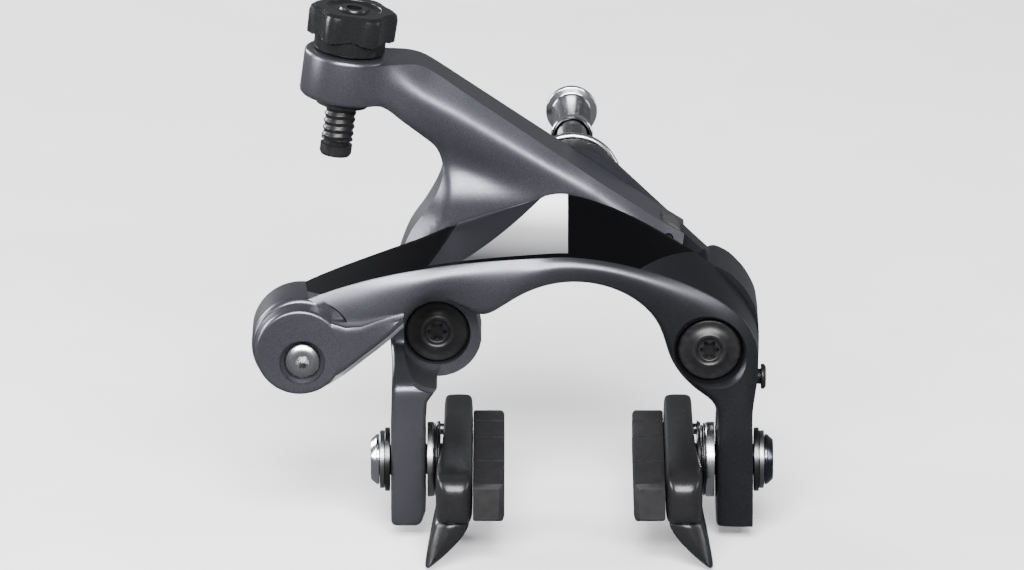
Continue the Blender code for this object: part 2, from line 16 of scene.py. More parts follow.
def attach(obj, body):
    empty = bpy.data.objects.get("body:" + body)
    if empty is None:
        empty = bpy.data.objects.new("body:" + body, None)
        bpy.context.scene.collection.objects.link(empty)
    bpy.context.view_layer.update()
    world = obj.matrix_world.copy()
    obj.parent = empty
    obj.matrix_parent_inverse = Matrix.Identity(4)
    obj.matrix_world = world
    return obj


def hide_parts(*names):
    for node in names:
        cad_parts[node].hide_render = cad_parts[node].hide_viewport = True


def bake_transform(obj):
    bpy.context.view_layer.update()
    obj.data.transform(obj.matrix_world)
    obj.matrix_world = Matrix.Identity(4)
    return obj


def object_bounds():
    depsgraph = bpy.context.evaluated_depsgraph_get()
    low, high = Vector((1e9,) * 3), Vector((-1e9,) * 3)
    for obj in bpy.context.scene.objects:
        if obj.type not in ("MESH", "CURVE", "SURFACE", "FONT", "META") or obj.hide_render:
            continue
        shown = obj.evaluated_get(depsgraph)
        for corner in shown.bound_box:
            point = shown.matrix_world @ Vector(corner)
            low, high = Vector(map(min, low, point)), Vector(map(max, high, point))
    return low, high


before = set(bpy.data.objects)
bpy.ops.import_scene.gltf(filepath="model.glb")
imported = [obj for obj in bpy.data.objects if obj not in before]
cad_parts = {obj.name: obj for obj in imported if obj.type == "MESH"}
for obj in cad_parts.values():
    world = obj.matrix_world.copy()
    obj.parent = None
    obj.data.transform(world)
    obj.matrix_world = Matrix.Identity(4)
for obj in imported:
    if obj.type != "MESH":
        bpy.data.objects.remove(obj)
MM = 0.001
solid_low, solid_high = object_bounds()
print("solid model, mm:", [round(value / MM, 1) for value in solid_high - solid_low])

# %% [markdown]
# ## The camera first
# The brake is looked at from straight ahead and a little above, from far away, so its upright lines stay
# parallel. A long lens does that: the camera stands 2.4 m off and sees a field only 191 mm wide.

# %% Camera
VIEW_UP = math.radians(17.0)
VIEW_FAR = 2400.0
VIEW_WIDTH = 191.4
AIM = Vector((-11.4, -25.0, -14.5))


def add_camera():
    data = bpy.data.cameras.new("camera")
    data.sensor_width = 36.0
    data.lens = data.sensor_width * VIEW_FAR / VIEW_WIDTH
    data.clip_start = 0.1
    data.clip_end = 20.0
    camera = bpy.data.objects.new("camera", data)
    back = Vector((0, -math.cos(VIEW_UP), math.sin(VIEW_UP)))
    camera.location = (AIM + back * VIEW_FAR) * MM
    camera.rotation_euler = (math.pi / 2 - VIEW_UP, 0, 0)
    bpy.context.collection.objects.link(camera)
    bpy.context.scene.camera = camera
    return camera


camera = add_camera()
print("lens, mm:", round(camera.data.lens))

# %% [markdown]
# ## Light and floor
# Satin metal shows the room more than its own colour, so the lamps are placed for what they reflect in.
# A wide low strip in front draws one line of light along every rounded ridge, and a soft lamp high in
# front lights the floor. One far round to the back left shapes the rear, one on the left models the
# neck, and a weak one on the right lifts that side out of the dark. Straight behind and above it stays
# dark on purpose: the sloping black panel mirrors that. The floor is plain, pale and very large. It is
# left out of the metal's reflections, which is what a black card in front of it would do in a studio,
# because a white floor mirrored in every front face would wash out the shapes.

# %% Lamps, world and floor
def add_lamp(name, place, target, size, power):
    data = bpy.data.lights.new(name, "AREA")
    data.shape = "RECTANGLE"
    data.size, data.size_y = size
    data.energy = power
    lamp = bpy.data.objects.new(name, data)
    lamp.location = place
    aim = Vector(target) - Vector(place)
    lamp.rotation_euler = aim.to_track_quat("-Z", "Y").to_euler()
    bpy.context.collection.objects.link(lamp)


middle = (solid_low + solid_high) / 2
# name: place in metres, width and height in metres, power in watts
LAMPS = {
    "top_lamp": ((-0.05, -1.0, 1.05), (0.7, 0.4), 36.0),
    "front_lamp": ((-0.02, -1.08, 0.60), (1.2, 0.18), 46.0),
    "back_lamp": ((-1.0, 0.85, 0.45), (0.5, 0.5), 24.0),
    "left_lamp": ((-1.0, -0.1, 0.3), (0.35, 0.5), 14.0),
    "right_lamp": ((0.95, -0.1, 0.25), (0.2, 0.5), 4.0),
}
for lamp_name, (lamp_place, lamp_size, power) in LAMPS.items():
    add_lamp(lamp_name, lamp_place, middle, lamp_size, power)

SKY_COLOUR = (0.93, 0.95, 1.0, 1)
SKY_STRENGTH = 0.26
world = bpy.data.worlds.new("studio")
world.use_nodes = True
sky = world.node_tree.nodes["Background"]
sky.inputs["Color"].default_value = SKY_COLOUR
sky.inputs["Strength"].default_value = SKY_STRENGTH
bpy.context.scene.world = world

FLOOR_HALF = 6.0                    # metres from its middle to its edge
FLOOR_GAP = 0.4                     # mm under the lowest point of the brake


def add_floor():
    bm = bmesh.new()
    bmesh.ops.create_grid(bm, x_segments=1, y_segments=1, size=FLOOR_HALF)
    below = solid_low.z - FLOOR_GAP * MM
    bmesh.ops.translate(bm, vec=(0, 0, below), verts=bm.verts)
    mesh = bpy.data.meshes.new("floor")
    bm.to_mesh(mesh)
    bm.free()
    floor = bpy.data.objects.new("floor", mesh)
    bpy.context.collection.objects.link(floor)
    floor.visible_glossy = False
    return floor


floor = add_floor()
print("lamps:", len(LAMPS))

# %% [markdown]
# ## Finishes
# Each finish is a small network of nodes that reads Object coordinates, so a grain is as fine as on the
# real part and doesn't move with the view. A helper adds the two things nearly all of them need: a noise
# that varies the roughness, and a bump for the grain.

# %% Material helpers
def start_material(name, colour, metallic, roughness):
    material = bpy.data.materials.new(name)
    material.use_nodes = True
    shader = material.node_tree.nodes["Principled BSDF"]
    shader.inputs["Base Color"].default_value = (*colour, 1)
    shader.inputs["Metallic"].default_value = metallic
    shader.inputs["Roughness"].default_value = roughness
    return material, shader


def add_noise(material, scale, detail=3.0, stretch=(1, 1, 1)):
    """Noise on Object coordinates; scale is in features per metre."""
    nodes, links = material.node_tree.nodes, material.node_tree.links
    where = nodes.new("ShaderNodeTexCoord")
    mapping = nodes.new("ShaderNodeMapping")
    mapping.inputs["Scale"].default_value = stretch
    noise = nodes.new("ShaderNodeTexNoise")
    noise.inputs["Scale"].default_value = scale
    noise.inputs["Detail"].default_value = detail
    links.new(where.outputs["Object"], mapping.inputs["Vector"])
    links.new(mapping.outputs["Vector"], noise.inputs["Vector"])
    return noise.outputs["Fac"]


def map_range(material, value, source, target, kind="LINEAR"):
    """Map a value from its source range onto a target range."""
    remap = material.node_tree.nodes.new("ShaderNodeMapRange")
    remap.interpolation_type = kind
    remap.inputs["From Min"].default_value, remap.inputs["From Max"].default_value = source
    remap.inputs["To Min"].default_value, remap.inputs["To Max"].default_value = target
    material.node_tree.links.new(value, remap.inputs["Value"])
    return remap.outputs["Result"]


def object_axis(material, axis):
    """One of the Object coordinates, in metres."""
    nodes, links = material.node_tree.nodes, material.node_tree.links
    where = nodes.new("ShaderNodeTexCoord")
    split = nodes.new("ShaderNodeSeparateXYZ")
    links.new(where.outputs["Object"], split.inputs["Vector"])
    return split.outputs[axis]


NOISE_RANGE = (0.3, 0.7)            # where nearly all of a noise's values lie


def add_bump(material, shader, height, strength, distance):
    nodes, links = material.node_tree.nodes, material.node_tree.links
    bump = nodes.new("ShaderNodeBump")
    bump.inputs["Strength"].default_value = strength
    bump.inputs["Distance"].default_value = distance
    links.new(height, bump.inputs["Height"])
    links.new(bump.outputs["Normal"], shader.inputs["Normal"])


def tint(material, shader, value, dark, light):
    """Colour that wanders between two tones."""
    nodes, links = material.node_tree.nodes, material.node_tree.links
    ramp = nodes.new("ShaderNodeValToRGB")
    ramp.color_ramp.elements[0].position = 0.35
    ramp.color_ramp.elements[1].position = 0.65
    ramp.color_ramp.elements[0].color = (*dark, 1)
    ramp.color_ramp.elements[1].color = (*light, 1)
    links.new(value, ramp.inputs["Fac"])
    links.new(ramp.outputs["Color"], shader.inputs["Base Color"])


def rough_by(material, shader, value, low, high):
    rough = map_range(material, value, NOISE_RANGE, (low, high))
    material.node_tree.links.new(rough, shader.inputs["Roughness"])


# %% [markdown]
# ### Satin grey on the arms
# The forged arms carry a metallic grey lacquer over a blasted surface: from close by it is a fine
# glitter of lighter and darker flakes. Two noises make it, one at a tenth of a millimetre for the flakes
# and one of centimetres for the faint unevenness of a sprayed coat. The front arm gets a painted shade:
# its colour fades darker along X towards the right pivot and its leg, standing in for the light falling
# off.
# The bevel under its lobe takes a much lighter grey of its own, which is a painted highlight.

# %% Satin lacquers
def satin_lacquer(name, dark, light, roughness):
    material, shader = start_material(name, light, 0.85, roughness)
    flakes = add_noise(material, 9000, 2.0)
    cloud = add_noise(material, 60, 2.0)
    tint(material, shader, flakes, dark, light)
    rough_by(material, shader, cloud, roughness - 0.04, roughness + 0.04)
    add_bump(material, shader, flakes, 0.12, 0.00003)
    return material, shader


def darken_along(material, shader, axis, start, end, least):
    """Multiply the colour by a fade that falls from 1 to its least value between two places in mm."""
    nodes, links = material.node_tree.nodes, material.node_tree.links
    place_along = object_axis(material, axis)
    fade = map_range(material, place_along, (start * MM, end * MM), (1.0, least), "SMOOTHSTEP")
    mix = nodes.new("ShaderNodeMix")
    mix.data_type = "RGBA"
    mix.blend_type = "MULTIPLY"
    mix.inputs["Factor"].default_value = 1.0
    colour = shader.inputs["Base Color"].links[0].from_socket
    links.new(colour, mix.inputs["A"])
    links.new(fade, mix.inputs["B"])
    links.new(mix.outputs["Result"], shader.inputs["Base Color"])
    return material


ARM_DARK, ARM_LIGHT, ARM_ROUGHNESS = (0.052, 0.052, 0.061), (0.098, 0.098, 0.113), 0.33
# Painted shade: the front arm's colour fades darker along X, between these two places in mm.
SHADE_START, SHADE_END, SHADE_LEAST = -24.0, 25.0, 0.32
arm_grey = satin_lacquer("arm_grey", ARM_DARK, ARM_LIGHT, ARM_ROUGHNESS)[0]
front_shaded_grey = darken_along(*satin_lacquer("front_shaded_grey", ARM_DARK, ARM_LIGHT, ARM_ROUGHNESS),
                          "X", SHADE_START, SHADE_END, SHADE_LEAST)
highlight_grey = satin_lacquer("highlight_grey", (0.40, 0.40, 0.42), (0.52, 0.52, 0.55), 0.32)[0]
plate_grey = satin_lacquer("plate_grey", (0.018, 0.019, 0.024), (0.032, 0.033, 0.04), 0.42)[0]

# %% [markdown]
# ### Gloss black, a painted reflection and silver on the panel
# The sloping panel on the front arm is piano black with a clear coat. Near the middle a metallic grey is a
# painted reflection, then the panel turns to a silver facet whose fade, lighter towards its top, is
# painted highlight and shade.

# %% Panel finishes
def clear_lacquer(name, colour, metallic, roughness):
    material, shader = start_material(name, colour, metallic, roughness)
    shader.inputs["Specular IOR Level"].default_value = 0.13
    ripple = add_noise(material, 400, 1.0)
    rough_by(material, shader, ripple, roughness, roughness + 0.03)
    add_bump(material, shader, ripple, 0.02, 0.00005)
    return material


panel_black = clear_lacquer("panel_black", (0.001, 0.001, 0.0012), 0.0, 0.15)
# Painted reflection: the middle of the black panel takes a metallic grey for the room it mirrors.
panel_painted_reflection = clear_lacquer("panel_painted_reflection", (0.036, 0.036, 0.042), 0.85, 0.30)
PAINTED_LIGHT_LOW, PAINTED_LIGHT_HIGH = -5.9, 2.8   # heights in mm over which a painted highlight brightens the silver from painted shade below


def silver_with_painted_light():
    material, shader = start_material("silver_with_painted_light", (0.6, 0.6, 0.62), 0.0, 0.42)
    shader.inputs["Specular IOR Level"].default_value = 0.25
    nodes, links = material.node_tree.nodes, material.node_tree.links
    # Painted highlight and shade: the silver's colour runs from near black at the bottom to bright at the
    # top.
    height = map_range(material, object_axis(material, "Z"), (PAINTED_LIGHT_LOW * MM, PAINTED_LIGHT_HIGH * MM), (0, 1))
    ramp = nodes.new("ShaderNodeValToRGB")
    ramp.color_ramp.elements[0].color = (0.03, 0.03, 0.032, 1)
    ramp.color_ramp.elements[1].color = (0.75, 0.75, 0.76, 1)
    ramp.color_ramp.elements.new(0.5).color = (0.22, 0.22, 0.225, 1)
    links.new(height, ramp.inputs["Fac"])
    links.new(ramp.outputs["Color"], shader.inputs["Base Color"])
    brush = add_noise(material, 3000, 2.0, (0.1, 1, 1))
    rough_by(material, shader, brush, 0.36, 0.46)
    return material


facet = silver_with_painted_light()

# %% [markdown]
# ### Steel, blackened steel, plastic and rubber
# Turned steel keeps fine rings from the lathe, blackened bolts are almost matt, the shoe holder is a
# smooth moulding and the pad a dusty rubber.

# %% Small part finishes
def turned_steel(name, colour, roughness, grain=2500):
    material, shader = start_material(name, colour, 1.0, roughness)
    rings = add_noise(material, grain, 3.0, (6, 0.3, 0.3))
    rough_by(material, shader, rings, roughness - 0.05, roughness + 0.07)
    add_bump(material, shader, rings, 0.06, 0.00004)
    return material


def black_oxide():
    material, shader = start_material("black_oxide", (0.012, 0.012, 0.0125), 0.4, 0.34)
    shader.inputs["Specular IOR Level"].default_value = 0.3
    mottle = add_noise(material, 900, 4.0)
    tint(material, shader, mottle, (0.009, 0.009, 0.0095), (0.013, 0.013, 0.0135))
    rough_by(material, shader, mottle, 0.31, 0.37)
    add_bump(material, shader, mottle, 0.03, 0.00003)
    return material


def moulded_plastic(name, colour, roughness, grain, depth):
    material, shader = start_material(name, colour, 0.0, roughness)
    shader.inputs["Specular IOR Level"].default_value = 0.35
    spark = add_noise(material, grain, 3.0)
    rough_by(material, shader, spark, roughness - 0.03, roughness + 0.05)
    add_bump(material, shader, spark, depth, 0.00005)
    return material


def pad_rubber():
    material, shader = start_material("pad_rubber", (0.02, 0.02, 0.021), 0.0, 0.62)
    shader.inputs["Specular IOR Level"].default_value = 0.25
    dust = add_noise(material, 700, 5.0)
    grain = add_noise(material, 6000, 2.0)
    tint(material, shader, dust, (0.006, 0.006, 0.0065), (0.009, 0.009, 0.0095))
    rough_by(material, shader, dust, 0.58, 0.66)
    add_bump(material, shader, grain, 0.2, 0.00004)
    return material


def floor_paper():
    material, shader = start_material("floor_finish", (0.86, 0.86, 0.87), 0.0, 0.75)
    paper = add_noise(material, 40, 3.0)
    tint(material, shader, paper, (0.85, 0.85, 0.86), (0.88, 0.88, 0.89))
    return material


bright_steel = turned_steel("bright_steel", (0.42, 0.42, 0.43), 0.24)
satin_steel = turned_steel("satin_steel", (0.20, 0.20, 0.205), 0.30)
grey_steel = turned_steel("grey_steel", (0.07, 0.07, 0.075), 0.30)
chrome = turned_steel("chrome", (0.55, 0.56, 0.58), 0.12)
smoked_chrome = turned_steel("smoked_chrome", (0.07, 0.072, 0.09), 0.18)
oxide = black_oxide()
knob_gloss = moulded_plastic("knob_gloss", (0.005, 0.005, 0.0055), 0.24, 900, 0.02)
holder_gloss = moulded_plastic("holder_gloss", (0.006, 0.006, 0.0065), 0.30, 1500, 0.03)
nylon = moulded_plastic("nylon", (0.03, 0.03, 0.03), 0.5, 3000, 0.1)
rubber = pad_rubber()
floor.data.materials.append(floor_paper())
print("finishes:", len(bpy.data.materials))

# %% [markdown]
# ## Shared modelling helpers
# Most of a brake is turned, drilled, or cut from plate, so a few workshop moves make nearly all of it.
# Shapes are drawn along +Z around the origin and then placed once, in metres, so a finished piece's own
# object never needs a location or a turn.

# %% Corners, rings and turned shapes
def soften(points, radius, closed=False, steps=3):
    """Round every corner of a polyline with a small curve."""
    count = len(points)
    result = []
    for i, point in enumerate(points):
        here = Vector(point)
        if not closed and i in (0, count - 1):
            result.append(here)
            continue
        before, after = Vector(points[i - 1]), Vector(points[(i + 1) % count])
        reach = min(radius, (before - here).length * 0.45, (after - here).length * 0.45)
        start = here + (before - here).normalized() * reach
        end = here + (after - here).normalized() * reach
        for k in range(steps + 1):
            t = k / steps
            result.append(start * (1 - t) ** 2 + here * 2 * t * (1 - t) + end * t ** 2)
    return result


def place(bm, centre, direction=(0, 0, 1)):
    """Turn a shape drawn along +Z, move it to its centre in mm and make it metres."""
    turn = Vector((0, 0, 1)).rotation_difference(Vector(direction)).to_matrix().to_4x4()
    whole = Matrix.Scale(MM, 4) @ Matrix.Translation(centre) @ turn
    bmesh.ops.transform(bm, matrix=whole, verts=bm.verts)
    return bm


def in_metres(bm):
    """Scale a shape that was drawn in place, in mm."""
    bmesh.ops.scale(bm, vec=(MM, MM, MM), verts=bm.verts)
    return bm


def bevel_edges(bm, edges, width, segments):
    bmesh.ops.bevel(bm, geom=edges, offset=width, offset_type="OFFSET", segments=segments,
                    profile=0.5, affect="EDGES", material=-1, clamp_overlap=True)


def turned(profile, steps=48, closed=False, corner=0.15):
    """Spin a (radius, height) profile round Z. A closed one leaves a hole in the middle."""
    points = [(radius, 0, height) for radius, height in profile]
    points = soften(points, corner, closed)
    bm = bmesh.new()
    verts = [bm.verts.new(point) for point in points]
    edges = [bm.edges.new(pair) for pair in zip(verts, verts[1:])]
    if closed:
        edges.append(bm.edges.new((verts[-1], verts[0])))
    bmesh.ops.spin(bm, geom=verts + edges, cent=(0, 0, 0), axis=(0, 0, 1), dvec=(0, 0, 0),
                   angle=math.tau, steps=steps, use_merge=True, use_duplicate=False)
    bmesh.ops.remove_doubles(bm, verts=bm.verts, dist=0.001)
    bmesh.ops.recalc_face_normals(bm, faces=bm.faces)
    return bm


def loft(rings):
    """Bridge one closed ring of points to the next; the end rings are filled."""
    bm = bmesh.new()
    loops = []
    for ring in rings:
        verts = [bm.verts.new(point) for point in ring]
        loops.append([bm.edges.new((verts[i - 1], verts[i])) for i in range(len(verts))])
    for first, second in zip(loops, loops[1:]):
        bmesh.ops.bridge_loops(bm, edges=first + second)
    for loop in (loops[0], loops[-1]):
        bmesh.ops.contextual_create(bm, geom=loop)
    bmesh.ops.recalc_face_normals(bm, faces=bm.faces)
    return bm


def arc(x, z, radius, start, end, steps):
    """Points of an arc in the X-Z plane, in degrees from +X towards +Z."""
    turns = [math.radians(start + (end - start) * i / steps) for i in range(steps + 1)]
    return [(x + radius * math.cos(turn), z + radius * math.sin(turn)) for turn in turns]


def slab(outline, front, back, edge=0.5, segments=3):
    """Extrude an (x, z) outline from front to back along Y and round both rims."""
    bm = bmesh.new()
    face = bm.faces.new([bm.verts.new((x, front, z)) for x, z in outline])
    lifted = bmesh.ops.extrude_face_region(bm, geom=[face])["geom"]
    moved = [item for item in lifted if isinstance(item, bmesh.types.BMVert)]
    bmesh.ops.translate(bm, vec=(0, back - front, 0), verts=moved)
    bmesh.ops.recalc_face_normals(bm, faces=bm.faces)
    if edge:
        flat = {front, back}
        rims = [e for e in bm.edges if e.verts[0].co.y == e.verts[1].co.y and e.verts[0].co.y in flat]
        bevel_edges(bm, rims, edge, segments)
    return in_metres(bm)


def block(x0, x1, z0, z1, front, back, edge=0):
    """A straight bar between its six sides; x0 and x1 may come in either order."""
    low, high = sorted((x0, x1))
    return slab([(low, z0), (high, z0), (high, z1), (low, z1)], front, back, edge)


# %% [markdown]
# A finished mesh becomes an object that rides on one of the bodies and stands for the plain solid of the
# same part. Cutting and joining use Blender's exact Boolean, which is then applied at once, so that the
# bevels and materials that follow see a real mesh.

# %% Pieces and cuts
def add_mesh(name, bm, *materials):
    mesh = bpy.data.meshes.new(name)
    bm.to_mesh(mesh)
    bm.free()
    for material in materials:
        mesh.materials.append(material)
    thing = bpy.data.objects.new(name, mesh)
    bpy.context.collection.objects.link(thing)
    return thing


def apply_modifiers(thing):
    shapes = bpy.context.evaluated_depsgraph_get()
    finished = bpy.data.meshes.new_from_object(thing.evaluated_get(shapes))
    thing.modifiers.clear()
    old = thing.data
    thing.data = finished
    finished.name = thing.name
    bpy.data.meshes.remove(old)


def combine(thing, operation, *tools):
    for tool in tools:
        if isinstance(tool, bmesh.types.BMesh):
            tool = add_mesh("tool", tool, *thing.data.materials)
        step = thing.modifiers.new("combine", "BOOLEAN")
        step.operation = operation
        step.solver = "EXACT"
        step.object = tool
        apply_modifiers(thing)
        bpy.data.objects.remove(tool)
    return thing


def subdivide(thing, levels):
    fine = thing.modifiers.new("fine", "SUBSURF")
    fine.levels = fine.render_levels = levels
    apply_modifiers(thing)


def mend(thing, near=2e-7):
    """Weld what a cut has left almost touching and close any pinhole."""
    bm = bmesh.new()
    bm.from_mesh(thing.data)
    bmesh.ops.remove_doubles(bm, verts=bm.verts, dist=near)
    bmesh.ops.dissolve_degenerate(bm, edges=bm.edges, dist=near)
    loose = [edge for edge in bm.edges if edge.is_boundary]
    if loose:
        bmesh.ops.holes_fill(bm, edges=loose, sides=0)
    left = sum(1 for edge in bm.edges if len(edge.link_faces) != 2)
    bm.to_mesh(thing.data)
    bm.free()
    print(thing.name, "open edges:", left)


def cut(thing, *tools):
    return combine(thing, "DIFFERENCE", *tools)


def join(thing, *tools):
    return combine(thing, "UNION", *tools)


def smooth(thing, angle=32):
    thing.data.shade_smooth()
    thing.data.set_sharp_from_angle(angle=math.radians(angle))
    return thing


def piece(name, bm, material, body, *nodes):
    """A finished part on its body, in place of the plain nodes."""
    thing = add_mesh(name, bm, material)
    smooth(thing)
    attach(thing, body)
    if nodes:
        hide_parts(*nodes)
    return thing


def drill(centre, direction, start, end, radius, steps=48):
    """A straight cutter along a direction, from start to end in mm."""
    bm = turned([(0, start), (radius, start), (radius, end), (0, end)], steps, corner=0)
    return place(bm, centre, direction)


def socket(centre, direction, start, end, outer, inner, lobes=6, steps=8):
    """A star-shaped or, with equal radii, a round drive socket as a cutter."""
    rings = []
    for height in (start, end):
        ring = []
        for i in range(lobes * steps):
            turn = math.tau * i / (lobes * steps)
            wave = 0.5 + 0.5 * math.cos(lobes * turn)
            radius = inner + (outer - inner) * wave
            ring.append((radius * math.cos(turn), radius * math.sin(turn), height))
        rings.append(ring)
    return place(loft(rings), centre, direction)


def hexagon(centre, direction, start, end, radius):
    bm = turned([(0, start), (radius, start), (radius, end), (0, end)], 6, corner=0)
    return place(bm, centre, direction)


def threaded(profile, crest, pitch, depth, start, end, steps=24, closed=False):
    """A turned shape whose side of radius crest carries a helical thread from start to end."""
    rows = []
    for low, high in zip(profile, profile[1:]):
        rows.append(low)
        rise = high[1] - low[1]
        if abs(rise) > pitch and low[0] == high[0]:
            count = int(abs(rise) / pitch * 10)
            rows += [(low[0], low[1] + rise * k / count) for k in range(1, count)]
    rows.append(profile[-1])
    bm = turned(rows, steps, closed, corner=0)
    for vert in bm.verts:
        radius = math.hypot(vert.co.x, vert.co.y)
        if radius > crest - 0.05 and start <= vert.co.z <= end:
            turn = math.atan2(vert.co.y, vert.co.x) / math.tau
            phase = (vert.co.z / pitch - turn) % 1.0
            shrink = 1 - depth * abs(2 * phase - 1) / radius
            vert.co.x *= shrink
            vert.co.y *= shrink
    return bm


print("helpers ready")

# %% [markdown]
# ## The front arm
# The front arm is the eye-catcher: it starts in a round lobe on the left that anchors the cable, rises
# in a long taper over the tyre, turns round its pivot on the right and ends in the leg that carries the
# right shoe. Its cross-section changes all the way, so it is lofted through sections. Each section has
# eight points: the back top edge, the middle of the sloping panel, the thin strip along it, the ridge,
# two on the front face, and the two lower edges. Each row below gives three (x, z) corners of one
# section: the outer edge, the ridge and the inner edge. A subdivision surface with creased ridges turns
# the rings into flowing metal.

# %% Sections of the front arm
C_FRONT, C_BACK = -38.0, -25.6
LEG_FRONT, LEG_BACK, LEG_BOTTOM = -39.0, -27.0, -57.5
PIVOT_X, PIVOT_Z = 25.4, -23.9
ARM_SECTIONS = [
    ((-52.5, -14.6), (-52.5, -14.9), (-52.0, -31.2)),
    ((-47.0, -11.9), (-47.0, -12.6), (-47.5, -30.6)),
    ((-42.0, -9.9), (-42.0, -10.9), (-43.0, -28.0)),
    ((-35.0, -7.2), (-35.5, -9.2), (-36.5, -23.3)),
    ((-31.0, -5.7), (-31.0, -8.3), (-32.6, -20.6)),
    ((-27.0, -4.3), (-27.5, -7.7), (-30.6, -16.6)),
    ((-22.3, -2.1), (-22.5, -6.9), (-26.0, -14.0)),
    ((-15.6, 0.1), (-16.0, -6.3), (-20.5, -15.6)),
    ((-8.5, 2.4), (-10.0, -5.9), (-16.8, -18.6)),
    ((-4.2, 3.9), (-4.5, -5.6), (-11.2, -13.4)),
    ((-0.9, 4.1), (-0.9, -5.4), (-3.5, -10.3)),
    ((6.2, 1.8), (6.2, -6.2), (4.6, -10.5)),
    ((12.0, -0.9), (12.4, -7.7), (11.4, -13.5)),
    ((17.1, -3.9), (18.6, -9.6), (15.4, -17.6)),
    ((22.4, -7.1), (24.8, -12.3), (17.0, -22.0)),
    ((28.5, -11.6), (29.5, -15.2), (17.8, -25.6)),
    ((32.6, -16.6), (32.3, -18.2), (20.0, -29.1)),
    ((34.6, -21.3), (34.2, -21.7), (22.9, -31.9)),
    ((34.9, -27.0), (34.7, -26.6), (25.4, -33.4)),
    ((34.3, -32.4), (34.0, -32.0), (26.95, -35.3)),
    ((33.55, -36.1), (33.3, -35.8), (26.6, -40.0)),
    ((33.6, -41.0), (33.6, -41.0), (26.6, -42.0)),
    ((33.6, -49.0), (33.6, -49.0), (26.6, -49.0)),
    ((33.6, -56.8), (33.6, -56.8), (26.7, -56.8)),
    ((33.6, LEG_BOTTOM), (33.6, LEG_BOTTOM), (26.8, LEG_BOTTOM)),
]
LEG_START = 19                      # the row from which the arm has turned into its leg
RELIEF = {4: 3.0, 5: 4.5, 6: 5.0, 7: 4.0, 8: 2.2}   # how far the underside is cut away, by row


def arm_ring(index, outer, ridge, inner):
    """Eight points round one section, from the back top edge over the ridge to the lower edges."""
    leg = min(max(index - LEG_START + 1, 0), 3) / 3
    front = C_FRONT + (LEG_FRONT - C_FRONT) * leg
    back = C_BACK + (LEG_BACK - C_BACK) * leg
    roll = 1.5 * (1 - leg)
    under = 0.9 + RELIEF.get(index, 0.6) * (1 - leg)
    top = Vector((outer[0], back, outer[1]))
    crest = Vector((ridge[0], front + roll * 0.8, ridge[1]))
    foot = Vector((inner[0], front, inner[1]))
    slope, border = top.lerp(crest, 0.5), top.lerp(crest, 0.95)
    brow = crest.lerp(foot, 0.2)
    brow.y = front - 0.1
    face = crest.lerp(foot, 0.58)
    face.y = front - 0.25 * (1 - leg)
    lower_front = foot + Vector((0, under * 0.5, 0))
    lower_back = Vector((inner[0], back, inner[1]))
    corners = (top, slope, border, crest, brow, face, lower_front, lower_back)
    return [tuple(point) for point in corners]


# %% [markdown]
# Creases are what keep a subdivided shape from going soft like soap: a value near one holds the edge
# sharp, a lower one leaves a small radius that catches the light.

# %% Loft the arm
CREASES = {0: 0.85, 2: 0.5, 3: 0.55, 6: 0.35, 7: 0.8}
# Two of these finishes have light painted into their colour: a reflection on the panel, a highlight on the
# lobe's bevel.
GREY, BLACK, PAINTED_REFLECTION, SILVER, PAINTED_HIGHLIGHT = range(5)
PANEL, STRIP = PAINTED_REFLECTION, BLACK         # marks that the panel's faces carry until they are painted


def rounded(point):
    return tuple(round(value, 3) for value in point)


def corner_numbers(rings):
    """Which corner of its ring each point of a loft is."""
    return {rounded(point): corner for ring in rings for corner, point in enumerate(ring)}


def crease_runs(bm, rings, creases):
    """Crease the edges that run from ring to ring, each by the corner that it follows."""
    numbers = corner_numbers(rings)
    layer = bm.edges.layers.float.new("crease_edge")
    corner = {vert: numbers.get(rounded(vert.co)) for vert in bm.verts}
    for edge in bm.edges:
        first, second = (corner[vert] for vert in edge.verts)
        if first == second and first is not None:
            edge[layer] = creases.get(first, 0.0)
    return layer, corner


def prepare_runs(bm, rings):
    """Crease the arm's long edges, and mark the faces that carry the panel."""
    layer, corner = crease_runs(bm, rings, CREASES)
    for face in bm.faces:
        used = {corner[vert] for vert in face.verts}
        if len(face.verts) > 4:
            for edge in face.edges:
                edge[layer] = 0.9
        elif used in ({0, 1}, {1, 2}):
            face.material_index = PANEL
        elif used == {2, 3}:
            face.material_index = STRIP


def make_front_arm():
    rings = [arm_ring(i, *row) for i, row in enumerate(ARM_SECTIONS)]
    bm = loft(rings)
    prepare_runs(bm, rings)
    arm = add_mesh("front_arm", in_metres(bm), front_shaded_grey, panel_black, panel_painted_reflection, facet, highlight_grey)
    subdivide(arm, 3)
    return arm


front_arm = make_front_arm()
print("front arm faces:", len(front_arm.data.polygons))

# %% [markdown]
# ### Lobe, shoulder and bores
# The round lobe is turned and joined on, with its raised disc in front. The deep shoulder behind the
# right pivot is a rounded slab. Then the seats and bores are cut, as a mill would do after forging.

# %% Join the lobe and shoulder, cut the bores
CENTRE = (0, 0, 0)
LEFT_PIVOT, RIGHT_PIVOT = (-PIVOT_X, 0, PIVOT_Z), (PIVOT_X, 0, PIVOT_Z)
LOBE, LOBE_DISC = (-50.7, 0, -22.6), (-50.9, 0, -22.6)
LOBE_RADIUS = 9.2
AXLE = (-50.4, 0, -24.5)
FORWARD, SIDEWAYS = (0, 1, 0), (1, 0, 0)
M6_HOLE = 3.35                      # radius of a clearance hole for a 6 mm thread
SHOE_Y, SHOE_Z = -33.0, -46.1       # where the shoe's stud crosses the leg
SCREW_PLACE = (0, -30.0, -30.8)     # on the axis of the centring screw
